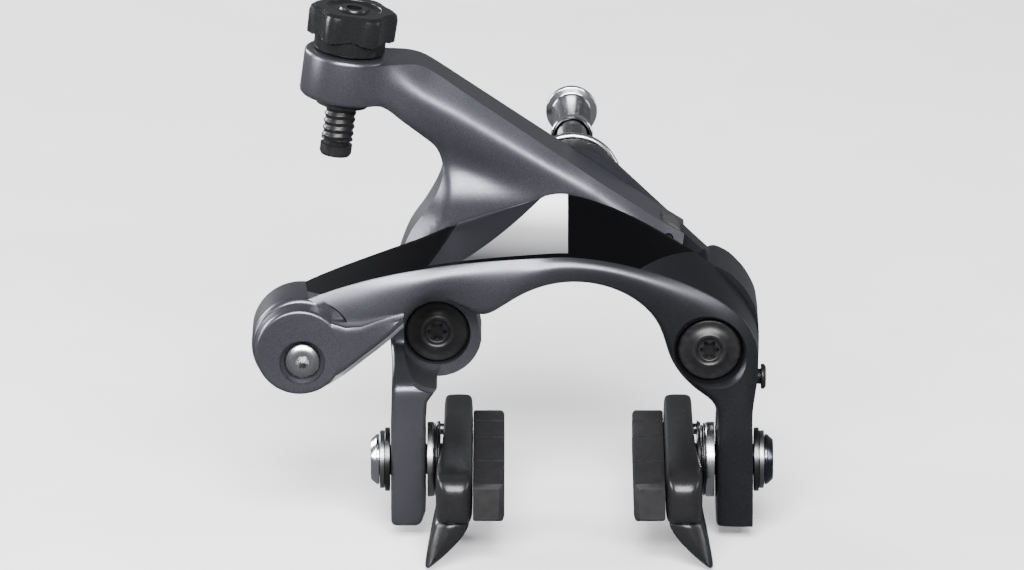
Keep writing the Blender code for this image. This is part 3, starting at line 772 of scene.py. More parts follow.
# x, then y and z of the tail's lower edge, then y and z of its upper edge
LOBE_TAIL = [(-49.5, -41.69, -30.6, -41.69, -16.4), (-45.5, -41.69, -29.3, -41.69, -16.6),
             (-42.3, -41.68, -27.2, -41.68, -17.6), (-39.4, -41.2, -25.0, -41.0, -17.6),
             (-36.5, -40.2, -23.0, -39.7, -16.9), (-34.0, -39.2, -21.2, -38.7, -16.3),
             (-31.6, -38.3, -19.2, -38.0, -15.9)]


def lobe_body():
    profile = [(0, -37.4), (8.6, -37.4), (LOBE_RADIUS, -36.6), (LOBE_RADIUS, C_BACK), (0, C_BACK)]
    return place(turned(profile, 96, corner=0.5), LOBE, FORWARD)


def lobe_groove():
    """A ring-shaped cutter that frees the disc from the arm's front face."""
    profile = [(7.0, -45), (10.3, -45), (10.1, -38.2), (9.6, -37.4), (7.0, -37.4)]
    return place(turned(profile, 96, True, 0.3), LOBE, FORWARD)


def lobe_disc():
    profile = [(0, -41.7), (6.9, -41.7), (7.7, -41.7), (8.05, -41.5), (8.25, -41.0), (8.4, -36.5),
               (0, -36.5)]
    return place(turned(profile, 96, corner=0.3), LOBE_DISC, FORWARD)


def lobe_tail():
    """The disc's plateau running out to a point along the arm's lower edge."""
    rings = []
    for x, y_low, z_low, y_high, z_high in LOBE_TAIL:
        ring = [(x, y_low + 1.7, z_low), (x, y_low + 0.25, z_low + 1.3), (x, y_low, z_low + 1.9),
                (x, y_low, z_low + 2.5), (x, y_high, z_high - 1.5), (x, y_high, z_high - 0.9),
                (x, y_high + 0.25, z_high - 0.3),
                (x, y_high + 0.9, z_high), (x, -36.5, z_high), (x, -36.5, z_low)]
        rings.append(ring)
    bm = loft(rings)
    numbers = corner_numbers(rings)
    for face in bm.faces:
        used = {numbers.get(rounded(vert.co)) for vert in face.verts}
        # The lower bevel's faces take the light grey, a painted highlight.
        if used == {0, 1}:
            face.material_index = PAINTED_HIGHLIGHT
    return in_metres(bm)


SHOULDER = [(17.0, -20.0), (17.8, -14.8), (22.6, -13.0), (26.0, -10.0), (29.3, -11.6), (32.2, -14.7),
            (34.2, -18.4), (34.8, -22.5), (34.8, -28.0), (33.6, -32.4), (28.5, -33.4), (20.0, -28.9),
            (17.4, -25.0)]


def rounded_outline(points, radius=1.5, steps=4):
    flat = soften([(x, 0, z) for x, z in points], radius, closed=True, steps=steps)
    return [(point.x, point.z) for point in flat]


def slot_tool(x0, x1, z_mid, travel=4.6, half=M6_HOLE):
    """A long hole through a leg, drawn across and lofted along X."""
    ends = arc(0, z_mid + travel, half, 0, 180, 12) + arc(0, z_mid - travel, half, 180, 360, 12)
    bm = loft([[(x, SHOE_Y + y, z) for y, z in ends] for x in (x0, x1)])
    return in_metres(bm)


def slider_tab(side):
    """The ledge behind a leg that the spring's slider sits on."""
    return block(side * 28.0, side * 31.0, -37.2, -33.6, -28.0, -2.8, 0.4)


def right_seat():
    rim = C_FRONT - 0.2
    profile = [(0, -45), (8.0, -45), (8.0, rim - 0.4), (7.2, rim + 0.25), (6.5, rim + 1.1),
               (6.1, C_FRONT + 3.9), (0, C_FRONT + 3.9)]
    return place(turned(profile, 72, corner=0.3), RIGHT_PIVOT, FORWARD)


def machine_front_arm(arm):
    shoulder = slab(rounded_outline(SHOULDER), C_BACK - 1.0, -12.6, 0.8)
    join(arm, lobe_body(), shoulder, slider_tab(1))
    cut(arm, lobe_groove())
    join(arm, lobe_disc(), lobe_tail())
    cut(arm, drill(RIGHT_PIVOT, FORWARD, -50, 0, M6_HOLE), right_seat())
    cut(arm, drill(AXLE, FORWARD, -50, 0, 2.8), drill(AXLE, FORWARD, -50, -40.0, 4.25, 64))
    cut(arm, drill(SCREW_PLACE, SIDEWAYS, 27.6, 40, 1.75, 24))
    cut(arm, slot_tool(20, 40, SHOE_Z))
    return arm


machine_front_arm(front_arm)

# %% [markdown]
# ### Colour areas of the panel
# The panel's areas meet along straight edges. Cutting the finished mesh with planes gives it real edges
# there, and each face then takes its finish by the side it lies on.

# %% Paint the panel
def split_by_plane(bm, through, toward):
    """Cut the mesh with an upright plane through two (x, y) points in mm."""
    start = Vector((through[0], through[1], 0)) * MM
    run = Vector((toward[0] - through[0], toward[1] - through[1], 0))
    normal = Vector((run.y, -run.x, 0)).normalized()
    everything = bm.verts[:] + bm.edges[:] + bm.faces[:]
    bmesh.ops.bisect_plane(bm, geom=everything, dist=1e-7, plane_co=start, plane_no=normal,
                           clear_inner=False, clear_outer=False)
    return start, normal


# from left to right, the (x, y) of two points on each border, at the panel's back and at its front
BORDERS = {
    "left_end": ((-53.3, -25.6), (-47.0, -37.0)),
    # the painted reflection begins at this border
    "reflection_border": ((-21.3, -25.6), (-27.5, -37.0)),
    "silver": ((-5.1, -25.6), (-22.0, -37.0)),
    "gap": ((-1.0, -25.6), (-1.0, -37.0)),
    "right_end": ((23.4, -25.6), (12.2, -37.0)),
}


def paint_panel(arm):
    """Give every face of the panel its finish by the side of each border that it lies on."""
    bm = bmesh.new()
    bm.from_mesh(arm.data)
    lines = {name: split_by_plane(bm, *ends) for name, ends in BORDERS.items()}

    def right_of(name, point):
        start, normal = lines[name]
        return (point - start).dot(normal) < 0

    for face in bm.faces:
        if face.material_index not in (PANEL, STRIP):
            continue
        point = face.calc_center_median()
        on_panel = right_of("left_end", point) and not right_of("right_end", point)
        if not on_panel:
            face.material_index = GREY
        elif face.material_index == PANEL:
            dark = right_of("gap", point) or not right_of("reflection_border", point)
            face.material_index = BLACK if dark else SILVER if right_of("silver", point) else PAINTED_REFLECTION
    bm.to_mesh(arm.data)
    bm.free()


mend(front_arm)
paint_panel(front_arm)
smooth(front_arm, 28)
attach(front_arm, "front_arm")
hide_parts("c_arm")
print("front arm done, faces:", len(front_arm.data.polygons))

# %% [markdown]
# ## The cable-side arm
# The second arm lies behind the first. A round boss at the top left carries the cable adjuster; from it
# a straight beam runs down to the right, and a curved neck goes down to the left pivot and on into the
# left leg. The outline is cut like plate, but the front face is sculpted: a sloping band along the
# beam's top edge ends in a soft bright ridge, the web below it is hollowed and flares out again above
# the front arm, and a widening chamfer runs down the neck.

# %% Outline of the cable-side arm
Y_FRONT, Y_BACK = -25.2, -12.6
ADJUSTER = (-42.4, -19.0, 25.0)
LEAN = math.radians(7.5)
ADJUSTER_AXIS = (math.sin(LEAN), 0, math.cos(LEAN))
BOSS_RADIUS = 8.2
NECK = [(-41.5, 21.0), (-38.0, 20.3), (-35.1, 19.7), (-32.0, 17.3), (-27.9, 13.8), (-25.4, 11.2),
        (-24.3, 7.6), (-24.9, 4.0), (-27.3, -0.6), (-30.4, -5.2), (-32.6, -11.0), (-34.2, -18.0),
        (-34.3, -24.0)]
TIP = [(7.0, -8.6), (13.0, -8.2), (16.2, -9.3), (20.2, -9.0), (20.8, -5.4), (17.3, -3.2)]
TOP_EDGE = [(17.3, -3.2), (-4.1, 11.2), (-21.1, 22.7), (-25.4, 25.6), (-28.2, 27.2), (-31.0, 27.9),
            (-34.5, 28.1), (-38.0, 28.2), (-41.5, 28.5)]
RIDGE = [(-37.0, 26.6), (-34.2, 25.2), (-21.7, 18.4), (-9.3, 10.8), (-4.5, 7.9), (3.2, 3.5), (9.0, -0.6),
         (15.0, -5.4), (18.0, -8.6)]


def curve_through(points, steps=4):
    """Catmull-Rom curve through a few chosen points, or through rows of any length."""
    result = []
    for i in range(len(points) - 1):
        a, b = Vector(points[max(i - 1, 0)]), Vector(points[i])
        c, d = Vector(points[i + 1]), Vector(points[min(i + 2, len(points) - 1)])
        for k in range(steps):
            t = k / steps
            result.append(0.5 * (2 * b + (c - a) * t + (2 * a - 5 * b + 4 * c - d) * t ** 2
                                 + (3 * b - a - 3 * c + d) * t ** 3))
    result.append(Vector(points[-1]))
    return [tuple(point) for point in result]


def cable_arm_outline():
    pivot = arc(-PIVOT_X, PIVOT_Z, 8.4, 215, 350, 16)
    arch = arc(0, -30.6, 20.8, 150, 92, 14)
    top = TOP_EDGE[:2] + curve_through(TOP_EDGE[2:], 4)
    return curve_through(NECK, 4) + pivot + arch + TIP[:-1] + top


# %% [markdown]
# ### How deep the front face lies
# One function says how far each point of the front face is pushed in, from its distance to the ridge
# and to the neck's edge. Writing the relief as a sum of soft steps keeps every transition smooth, which
# is what lets light run along it in one unbroken line.

# %% Relief of the front face
def smoothstep(value, low, high):
    t = min(max((value - low) / (high - low), 0.0), 1.0)
    return t * t * (3 - 2 * t)


def distance_above(line, x, z):
    """Signed distance from a polyline, positive above it."""
    best = None
    for a, b in zip(line, line[1:]):
        start, run = Vector(a), Vector(b) - Vector(a)
        t = min(max((Vector((x, z)) - start).dot(run) / run.length_squared, 0.0), 1.0)
        gap = Vector((x, z)) - (start + run * t)
        side = run.x * gap.y - run.y * gap.x
        value = math.copysign(gap.length, side)
        if best is None or abs(value) < abs(best):
            best = value
    return best


NECK_LINE = curve_through(NECK, 4)


def band_depth(above, x):
    """The slope between the ridge and the top edge; it fades out towards the boss."""
    fade = smoothstep(x, -38.0, -26.0)
    return fade * (0.85 * max(above, 0.0) - 0.3 * smoothstep(above, 0.0, 1.5))


def web_depth(below, x, z):
    """The hollow under the ridge, and the flare that brings the face forward again."""
    hollow = 2.3 * smoothstep(below, 1.5, 9.0) * smoothstep(x, -33.0, -25.0)
    flare = smoothstep(z, 9.5, 1.0) if x < 0 else 1.0
    return hollow * (1 - flare)


def edge_depth(x, z):
    """A chamfer on the neck that widens as it goes down, with a soft start."""
    inside = abs(distance_above(NECK_LINE, x, z))
    narrow, wide, soft, steepness = 1.2, 4.2, 0.8, 0.9
    width = min(max(narrow + (7.0 - z) * 0.32, narrow), wide)
    width *= smoothstep(z, -17.0, -9.0) if z < 0 else 1.0
    over = max(width - inside, 0.0)
    return steepness * (over ** 2 / (2 * soft) if over < soft else over - soft / 2)


def boss_bulge(x, z):
    """The face swells smoothly into the round boss, and slips under its skin at the plate's end."""
    aside = x - ADJUSTER[0] - (z - ADJUSTER[2]) * math.tan(LEAN)
    round_face = -ADJUSTER[1] + math.sqrt(max(BOSS_RADIUS ** 2 - aside ** 2, 0.0))
    blend, flat = 2.6, -Y_FRONT
    h = min(max(0.5 + 0.5 * (round_face - flat) / blend, 0.0), 1.0)
    swell = flat + (round_face - flat) * h + blend * h * (1 - h) - 0.25 * smoothstep(-x, 38.2, 40.5)
    return (swell - flat) * smoothstep(z, 12.0, 18.0)


DEEPEST = 5.0


def front_depth(x, z):
    above = distance_above(RIDGE, x, z)
    depth = band_depth(above, x) if above > 0 else web_depth(-above, x, z)
    return min(depth + edge_depth(x, z), DEEPEST) - boss_bulge(x, z)


# %% [markdown]
# The flat front face has no inner vertices to move, so it is first sliced by two families of upright and
# level planes, a little over a millimetre apart, and then each vertex goes to its depth.

# %% Build the cable-side arm
SLICE = 1.1


def slice_face(bm, low, high, normal, step):
    count = int((high - low) / step)
    for i in range(1, count):
        front = [face for face in bm.faces if face.normal.y < -0.99]
        edges = list({edge for face in front for edge in face.edges})
        verts = list({vert for face in front for vert in face.verts})
        bmesh.ops.bisect_plane(bm, geom=front + edges + verts, dist=1e-4, plane_no=normal,
                               plane_co=Vector(normal) * (low + (high - low) * i / count),
                               clear_inner=False, clear_outer=False)


def sculpted_plate():
    bm = bmesh.new()
    face = bm.faces.new([bm.verts.new((x, Y_FRONT, z)) for x, z in cable_arm_outline()])
    lifted = bmesh.ops.extrude_face_region(bm, geom=[face])["geom"]
    moved = [item for item in lifted if isinstance(item, bmesh.types.BMVert)]
    bmesh.ops.translate(bm, vec=(0, Y_BACK - Y_FRONT, 0), verts=moved)
    bmesh.ops.recalc_face_normals(bm, faces=bm.faces)
    slice_face(bm, -41.5, 21.0, (1, 0, 0), SLICE)
    slice_face(bm, -33.0, 29.0, (0, 0, 1), SLICE)
    for vert in bm.verts:
        if abs(vert.co.y - Y_FRONT) < 0.01:
            vert.co.y += front_depth(vert.co.x, vert.co.z)
    return in_metres(bm)


STRAIGHT_FROM = 7                   # the rows above this one are joined by a smooth curve
# z, then x at the outside and inside, then y at the front and back
LEG_ROWS = [(-20.0, -34.3, -18.0, Y_FRONT, Y_BACK), (-24.6, -34.2, -18.6, -25.2, -13.6),
            (-26.3, -34.1, -19.6, -26.4, -14.6), (-27.8, -33.9, -21.6, -31.4, -17.0),
            (-29.3, -33.8, -23.4, -36.8, -19.4), (-30.6, -33.8, -25.2, -38.8, -21.8),
            (-33.4, -33.9, -27.2, LEG_FRONT, -25.6), (-37.5, -34.0, -27.5, LEG_FRONT, LEG_BACK),
            (-46.0, -34.0, -27.5, LEG_FRONT, LEG_BACK), (-54.6, -34.0, -27.5, LEG_FRONT, LEG_BACK),
            (LEG_BOTTOM, -34.0, -28.5, LEG_FRONT, LEG_BACK)]


def leg_loft():
    rows = curve_through(LEG_ROWS[:STRAIGHT_FROM]) + LEG_ROWS[STRAIGHT_FROM:]
    bm = loft([[(x0, y0, z), (x1, y0, z), (x1, y1, z), (x0, y1, z)] for z, x0, x1, y0, y1 in rows])
    corners = [e for e in bm.edges if abs(e.verts[0].co.z - e.verts[1].co.z) > 0.01]
    ends = [e for e in bm.edges if e.verts[0].co.z == LEG_BOTTOM and e.verts[1].co.z == LEG_BOTTOM]
    bevel_edges(bm, corners + ends, 1.0, 4)
    return in_metres(bm)


ROLLER = (17.6, 0, -6.0)


def make_cable_arm():
    arm = add_mesh("cable_arm", sculpted_plate(), arm_grey)
    boss = [(0, -4.4), (BOSS_RADIUS, -4.4), (BOSS_RADIUS, 4.4), (0, 4.4)]
    join(arm, place(turned(boss, 96, corner=0.9), ADJUSTER, ADJUSTER_AXIS), leg_loft())
    join(arm, slider_tab(-1))
    cut(arm, drill(ADJUSTER, ADJUSTER_AXIS, -20, 20, M6_HOLE))
    cut(arm, drill(LEFT_PIVOT, FORWARD, -60, 0, M6_HOLE))
    pocket = [(0, -60), (7.6, -60), (7.6, -38.4), (6.9, -37.4), (6.9, -26.2), (6.15, -25.0),
              (6.15, Y_FRONT + 2.6), (0, Y_FRONT + 2.6)]
    cut(arm, place(turned(pocket, 72, corner=0.2), LEFT_PIVOT, FORWARD))
    roller_room = block(10, 30, -16, -2.6, Y_FRONT + 3.4, Y_BACK - 3.4)
    cut(arm, roller_room, drill(ROLLER, FORWARD, -50, 0, 1.2, 24), slot_tool(-40, -20, SHOE_Z))
    mend(arm)
    smooth(arm, 34)
    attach(arm, "cable_arm")
    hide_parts("y_arm")
    return arm


cable_arm = make_cable_arm()
print("cable-side arm faces:", len(cable_arm.data.polygons))

# %% [markdown]
# ## The base plate and what passes through it
# Both arms swing on this plate, which is clamped to the fork. It hides behind them, apart from its
# sloping right edge, so an even slab with rounded rims and the right outline is enough.

# %% Base plate
PLATE_FRONT, PLATE_BACK = -12.3, -6.0


def make_base_plate():
    outline = (arc(-PIVOT_X, PIVOT_Z, 8.0, 150, 330, 20) + arc(0, -30.6, 21.0, 158, 22, 28)
               + arc(PIVOT_X, PIVOT_Z, 8.6, 210, 390, 20) + arc(0, 0, 8.6, 50, 130, 12))
    plate = add_mesh("plate", slab(outline, PLATE_FRONT, PLATE_BACK, 0.8, 4), plate_grey)
    boss = [(0, PLATE_BACK - 1), (6.0, PLATE_BACK - 1), (6.0, -2.1), (0, -2.1)]
    join(plate, place(turned(boss, 64, corner=0.5), CENTRE, FORWARD))
    cut(plate, drill(CENTRE, FORWARD, -20, 5, M6_HOLE), drill(CENTRE, FORWARD, -20, -10.1, 5.4))
    for pivot in (LEFT_PIVOT, RIGHT_PIVOT):
        cut(plate, drill(pivot, FORWARD, -20, 5, M6_HOLE))
    smooth(plate)
    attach(plate, "base")
    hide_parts("base_plate")


make_base_plate()

# %% [markdown]
# ### Centre bolt, washer and sleeve nut
# The centre bolt goes through the fork and is closed by a long sleeve nut with a bright flange. Only the
# bolt's own end is threaded; a real thread is a helix, so each row of the turned shank is moved in and
# out by the angle at which the helix passes it.

# %% Centre bolt and sleeve nut
def make_center_bolt():
    profile = [(0, -12.2), (5.0, -12.2), (5.0, -10.4), (3.0, -10.4), (3.0, 35.4), (2.4, 36.2), (0, 36.2)]
    bm = threaded(profile, 3.0, 1.0, 0.32, 8.0, 35.6, 28)
    bolt = piece("center_bolt_fine", place(bm, CENTRE, FORWARD), satin_steel, "base", "center_bolt")
    cut(bolt, hexagon(CENTRE, FORWARD, -14, -10.9, 2.6))
    smooth(bolt)


def make_mounting_washer():
    profile = [(M6_HOLE, -1.8), (6.2, -1.8), (6.2, 0), (M6_HOLE, 0)]
    washer = piece("mounting_washer_fine", place(turned(profile, 96, True, 0.2), CENTRE, FORWARD),
                   bright_steel, "base", "mounting_washer")
    teeth = 12
    for i in range(teeth):
        turn = math.tau * i / teeth
        spot = (6.4 * math.cos(turn), 0, 6.4 * math.sin(turn))
        cut(washer, drill(spot, FORWARD, -0.7, 1, 0.7, 16))
    smooth(washer)


def make_sleeve_nut():
    barrel = [(M6_HOLE, 24.7), (3.9, 24.7), (3.9, 25.9), (3.6, 26.3), (3.6, 41.0), (3.0, 41.0),
              (3.0, 38.4), (M6_HOLE, 38.0)]
    piece("sleeve_barrel", place(turned(barrel, 64, True, 0.12), CENTRE, FORWARD), grey_steel, "base")
    flange = [(2.6, 38.6), (3.58, 39.2), (3.62, 40.9), (4.9, 41.2), (4.9, 42.4), (4.4, 43.0), (2.6, 43.0)]
    piece("sleeve_flange", place(turned(flange, 64, True, 0.2), CENTRE, FORWARD), chrome,
          "base", "sleeve_nut")
    ring = [(M6_HOLE, 24.5), (4.0, 24.5), (4.0, 26.1), (M6_HOLE, 26.1)]
    piece("sleeve_mouth_ring", place(turned(ring, 64, True, 0.2), CENTRE, FORWARD), chrome, "base")


make_center_bolt()
make_mounting_washer()
make_sleeve_nut()

# %% [markdown]
# ### Pivot bolts
# The two black bolts that the arms turn on have a dished head: a rounded rim, a hollow ring, a raised
# collar and a six-lobed socket. All of it but the socket is one turned profile.

# %% Pivot bolts and nuts
def make_pivot_bolt(side, pivot, front):
    profile = [(0, front + 0.8), (2.1, front + 0.8), (2.3, front + 0.4), (2.9, front), (3.6, front + 0.45),
               (4.5, front + 0.85), (5.5, front + 0.9), (5.85, front + 1.15), (5.85, front + 2.0),
               (3.0, front + 2.0), (3.0, -5.4), (2.4, -4.8), (0, -4.8)]
    bm = place(turned(profile, 72, corner=0.6), pivot, FORWARD)
    bolt = piece(side + "_pivot_bolt_fine", bm, oxide, "base", side + "_pivot_bolt")
    cut(bolt, socket(pivot, FORWARD, front - 1, front + 2.6, 1.9, 1.15))
    smooth(bolt)


def make_nut(side, pivot):
    hexes = turned([(3.9, -5.8), (4.9, -5.8), (4.9, -2.6), (3.9, -2.6)], 6, True, 0)
    rims = [e for e in hexes.edges if e.calc_face_angle(0) > 0.5]
    bevel_edges(hexes, rims, 0.25, 2)
    piece(side + "_pivot_nut_fine", place(hexes, pivot, FORWARD), grey_steel, "base",
          side + "_pivot_nut")


make_pivot_bolt("left", LEFT_PIVOT, Y_FRONT + 0.3)
make_pivot_bolt("right", RIGHT_PIVOT, C_FRONT + 1.6)
make_nut("left", LEFT_PIVOT)
make_nut("right", RIGHT_PIVOT)

# %% [markdown]
# ### Return spring
# The spring is one bent steel wire. Its loop stays on the hub while each of its feet is pushed along by
# an arm, so the wire flexes. It is a bevelled curve through a few bends, made in two halves that meet at
# the top of the loop.

# %% Spring
WIRE_Y, WIRE_RADIUS = -4.2, 0.75


def make_spring(word, side):
    """Half of one bent wire: a bevelled curve, made a mesh."""
    bends = [(8.0, -2.0), (13.5, -9.0), (18.2, -16.0), (18.4, -24.0), (20.9, -31.0),
             (25.8, -35.4)]
    path = curve_through(arc(0, 0, 8.4, 90, 10, 4) + bends, 4)
    curve = bpy.data.curves.new("spring", "CURVE")
    curve.dimensions = "3D"
    curve.bevel_depth = WIRE_RADIUS * MM
    curve.bevel_resolution = 4
    curve.use_fill_caps = True
    line = curve.splines.new("POLY")
    line.points.add(len(path) - 1)
    for point, (x, z) in zip(line.points, path):
        point.co = (side * x * MM, WIRE_Y * MM, z * MM, 1)
    source = bpy.data.objects.new("spring_curve", curve)
    bpy.context.collection.objects.link(source)
    shapes = bpy.context.evaluated_depsgraph_get()
    mesh = bpy.data.meshes.new_from_object(source.evaluated_get(shapes))
    bpy.data.objects.remove(source)
    bm = bmesh.new()
    bm.from_mesh(mesh)
    bmesh.ops.remove_doubles(bm, verts=bm.verts, dist=1e-6)
    bmesh.ops.recalc_face_normals(bm, faces=bm.faces)
    bm.to_mesh(mesh)
    bm.free()
    mesh.materials.clear()
    mesh.materials.append(bright_steel)
    spring = bpy.data.objects.new(word + "_spring_half", mesh)
    bpy.context.collection.objects.link(spring)
    smooth(spring)
    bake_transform(spring)
    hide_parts("return_spring")


make_spring("left", -1)
make_spring("right", 1)

# %% [markdown]
# ## The cable adjuster
# A black knob turns on a threaded barrel that slides in the boss. The knob has six flats with scooped
# corners to grip, a chamfered top with the cable's hole, and a round skirt below. The scoops are cut
# with six round bars that stand round it, which is how the mould for it would be milled.

# %% Knob and barrel
KNOB_FLATS = 6
KNOB_ROWS = [(6.9, 7.5), (7.3, 8.25), (11.4, 8.35), (12.3, 8.1), (12.8, 7.4)]   # height and radius
SCALLOP = 0.7                       # how far the lower rim rises between the corners
SCOOP_RADIUS, SCOOP_AWAY = 11.2, 18.4


def knob_blank():
    """Six-sided body with eased corners and a scalloped lower rim. Its lower cap hides in the skirt."""
    turns = [math.tau * i / 96 for i in range(96)]
    cap_radius, cap_height = 5.6, 8.3
    rings = [[(cap_radius * math.cos(turn), cap_radius * math.sin(turn), cap_height) for turn in turns]]
    for height, reach in KNOB_ROWS:
        ring = []
        for turn in turns:
            wave = math.cos(KNOB_FLATS * turn)
            lip = SCALLOP * (0.5 - 0.5 * wave) if height < cap_height else 0.0
            radius = reach * (0.945 + 0.055 * wave)
            ring.append((radius * math.cos(turn), radius * math.sin(turn), height + lip))
        rings.append(ring)
    return loft(rings)


def knob_dish():
    """The shallow turned hollow round the cable's hole in the top."""
    profile = [(2.6, 13.5), (5.2, 13.5), (5.2, 12.7), (4.6, 12.35), (2.9, 12.35), (2.6, 12.8)]
    return turned(profile, 64, True, 0.15)


def make_knob():
    knob = add_mesh("knob", place(knob_blank(), ADJUSTER, ADJUSTER_AXIS), knob_gloss)
    skirt = [(0, 4.7), (6.5, 4.7), (6.7, 5.0), (6.7, 8.8), (0, 8.8)]
    join(knob, place(turned(skirt, 72, corner=0.2), ADJUSTER, ADJUSTER_AXIS))
    cut(knob, place(knob_dish(), ADJUSTER, ADJUSTER_AXIS))
    cut(knob, drill(ADJUSTER, ADJUSTER_AXIS, 0, 11.4, M6_HOLE))
    cut(knob, drill(ADJUSTER, ADJUSTER_AXIS, 11, 15, 1.5))
    along = Vector(ADJUSTER_AXIS)
    side = Vector((0, -1, 0))
    for i in range(KNOB_FLATS):
        out = Matrix.Rotation(math.tau * i / KNOB_FLATS, 3, along) @ side
        scoop = Vector(ADJUSTER) + out * SCOOP_AWAY
        cut(knob, drill(scoop, ADJUSTER_AXIS, 7.6, 14, SCOOP_RADIUS, 96))
    mend(knob)
    smooth(knob, 26)
    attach(knob, "knob")
    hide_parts("adjuster_knob")


def make_barrel():
    profile = [(1.1, -15.8), (2.7, -15.8), (3.0, -15.3), (3.0, -13.7), (2.4, -13.5), (2.4, -12.9),
               (3.0, -12.7), (3.0, 8.6), (2.7, 8.9), (1.1, 8.9)]
    bm = threaded(profile, 3.0, 1.35, 0.38, -12.6, 8.4, 40, True)
    barrel = piece("barrel", place(bm, ADJUSTER, ADJUSTER_AXIS), oxide, "barrel", "adjuster_barrel")
    smooth(barrel, 50)


make_knob()
make_barrel()
print("adjuster done")

# %% [markdown]
# ## Quick release and cable clamp
# In front there is only a small bright button with a hexagon socket, seated in a recess of the lobe.
# Behind the lobe its axle carries the release lever, and beside it the bolt and plate that clamp the
# cable.

# %% Quick release
CLAMP = (-54.4, 0, -20.6)


def make_quick_release():
    profile = [(0, -41.5), (2.2, -41.5), (3.3, -41.0), (3.45, -40.3), (2.5, -40.3), (2.5, -22.3),
               (0, -22.3)]
    axle = piece("lever_axle_fine", place(turned(profile, 64, corner=0.4), AXLE, FORWARD), bright_steel,
                 "quick_release", "lever_axle")
    cut(axle, hexagon(AXLE, FORWARD, -43, -37.8, 1.3))
    smooth(axle)
    hub = arc(-50.9, -22.3, 7.6, 75, 330, 40)
    tip = arc(-41.4, -19.2, 2.4, -75, 75, 12)
    lever = piece("lever", slab(hub + tip, C_BACK + 0.3, -22.2, 0.6, 4), arm_grey, "quick_release",
                  "release_lever")
    cut(lever, drill(AXLE, FORWARD, -30, -10, 2.8), drill(CLAMP, FORWARD, -30, -10, 2.3))
    smooth(lever)
    disc = slab(arc(CLAMP[0], CLAMP[2], 4.0, 0, 345, 23), -21.9, -20.3, 0.25, 2)
    plate = piece("clamp_plate_fine", disc, bright_steel, "quick_release", "clamp_plate")
    cut(plate, drill(CLAMP, FORWARD, -30, -10, 2.3))
    smooth(plate)
    profile = [(0, -25.2), (2.0, -25.2), (2.0, -20.0), (3.2, -20.0), (3.2, -17.2), (2.8, -16.8),
               (0, -16.8)]
    bolt = piece("clamp_bolt_fine", place(turned(profile, 48, corner=0.3), CLAMP, FORWARD), grey_steel,
                 "quick_release", "clamp_bolt")
    cut(bolt, hexagon(CLAMP, FORWARD, -18.6, -15, 1.9))
    smooth(bolt)


make_quick_release()
print("quick release done")

# %% [markdown]
# ## Brake shoes
# Each shoe is a stack on one stud through the leg: nut and two washers outside, a thick and a dished
# washer inside, the holder and the pad. The two sides differ slightly in their gaps, so one function
# makes either from its own stack of distances.

# %% Shoe stack
STUD = (0, SHOE_Y, SHOE_Z)
HOLDER_NEAR, HOLDER_FAR = 5.9, 11.9         # from the pad's face to the holder's two sides
LEFT_SHOE = {"side": -1, "face": 12.8, "leg_in": 27.4, "leg_out": 34.0,
             "nut": chrome, "inner": satin_steel}
RIGHT_SHOE = {"side": 1, "face": 11.2, "leg_in": 26.6, "leg_out": 33.6,
              "nut": smoked_chrome, "inner": bright_steel}


def across(profile, side, steps=64, closed=True, corner=0.15):
    """A turned part on the shoe's stud; heights are distances from the mid-plane."""
    return place(turned(profile, steps, closed, corner), STUD, (side, 0, 0))


def make_stack(word, spec):
    side, leg_in, leg_out = spec["side"], spec["leg_in"], spec["leg_out"]
    clamp, shoe = word + "_clamp", word + "_shoe"
    holder_in, holder_out = spec["face"] + HOLDER_NEAR, spec["face"] + HOLDER_FAR
    room = leg_in - holder_out
    split = leg_in - 0.2 - room * 0.5
    stud = [(0, holder_in + 2.2), (2.2, holder_in + 2.2), (3.0, holder_in + 2.7), (3.0, leg_out + 2.6),
            (2.6, leg_out + 3.0), (0, leg_out + 3.0)]
    bm = threaded(stud, 3.0, 1.0, 0.3, leg_in - 1, leg_out + 2.7, 28)
    piece(word + "_stud_fine", place(bm, STUD, (side, 0, 0)), grey_steel, shoe, word + "_shoe_stud")
    inner = [(M6_HOLE, split), (6.7, split), (7.0, split + 0.3), (7.0, leg_in - 0.2),
             (M6_HOLE, leg_in - 0.2)]
    piece(word + "_inner_washer_fine", across(inner, side), spec["inner"], clamp, word + "_inner_washer")
    third = (split - holder_out) / 3
    cup = [(M6_HOLE, holder_out + 0.05), (5.7, holder_out + 0.05),
           (5.9, holder_out + third), (5.6, holder_out + third + 0.1),
           (6.3, holder_out + third + 0.2), (6.5, holder_out + 2 * third),
           (6.1, holder_out + 2 * third + 0.1), (6.8, holder_out + 2 * third + 0.2),
           (6.9, split - 0.05), (M6_HOLE, split - 0.05)]
    piece(word + "_cup_washer_fine", across(cup, side), grey_steel, shoe, word + "_cup_washer")
    outer = [(M6_HOLE, leg_out + 0.2), (5.95, leg_out + 0.2), (5.95, leg_out + 1.15),
             (M6_HOLE, leg_out + 1.15)]
    piece(word + "_outer_washer_fine", across(outer, side), grey_steel, clamp, word + "_outer_washer")
    thin = [(M6_HOLE, leg_out + 1.2), (5.4, leg_out + 1.2), (5.4, leg_out + 2.1),
            (M6_HOLE, leg_out + 2.1)]
    piece(word + "_spring_washer_fine", across(thin, side), satin_steel, clamp, word + "_spring_washer")
    nut = [(M6_HOLE, leg_out + 2.2), (4.7, leg_out + 2.2), (4.7, leg_out + 2.7), (3.7, leg_out + 3.8),
           (2.2, leg_out + 3.8), (2.2, leg_out + 3.3), (M6_HOLE, leg_out + 3.3)]
    piece(word + "_nut_fine", across(nut, side), spec["nut"], clamp, word + "_shoe_nut")


make_stack("left", LEFT_SHOE)
make_stack("right", RIGHT_SHOE)

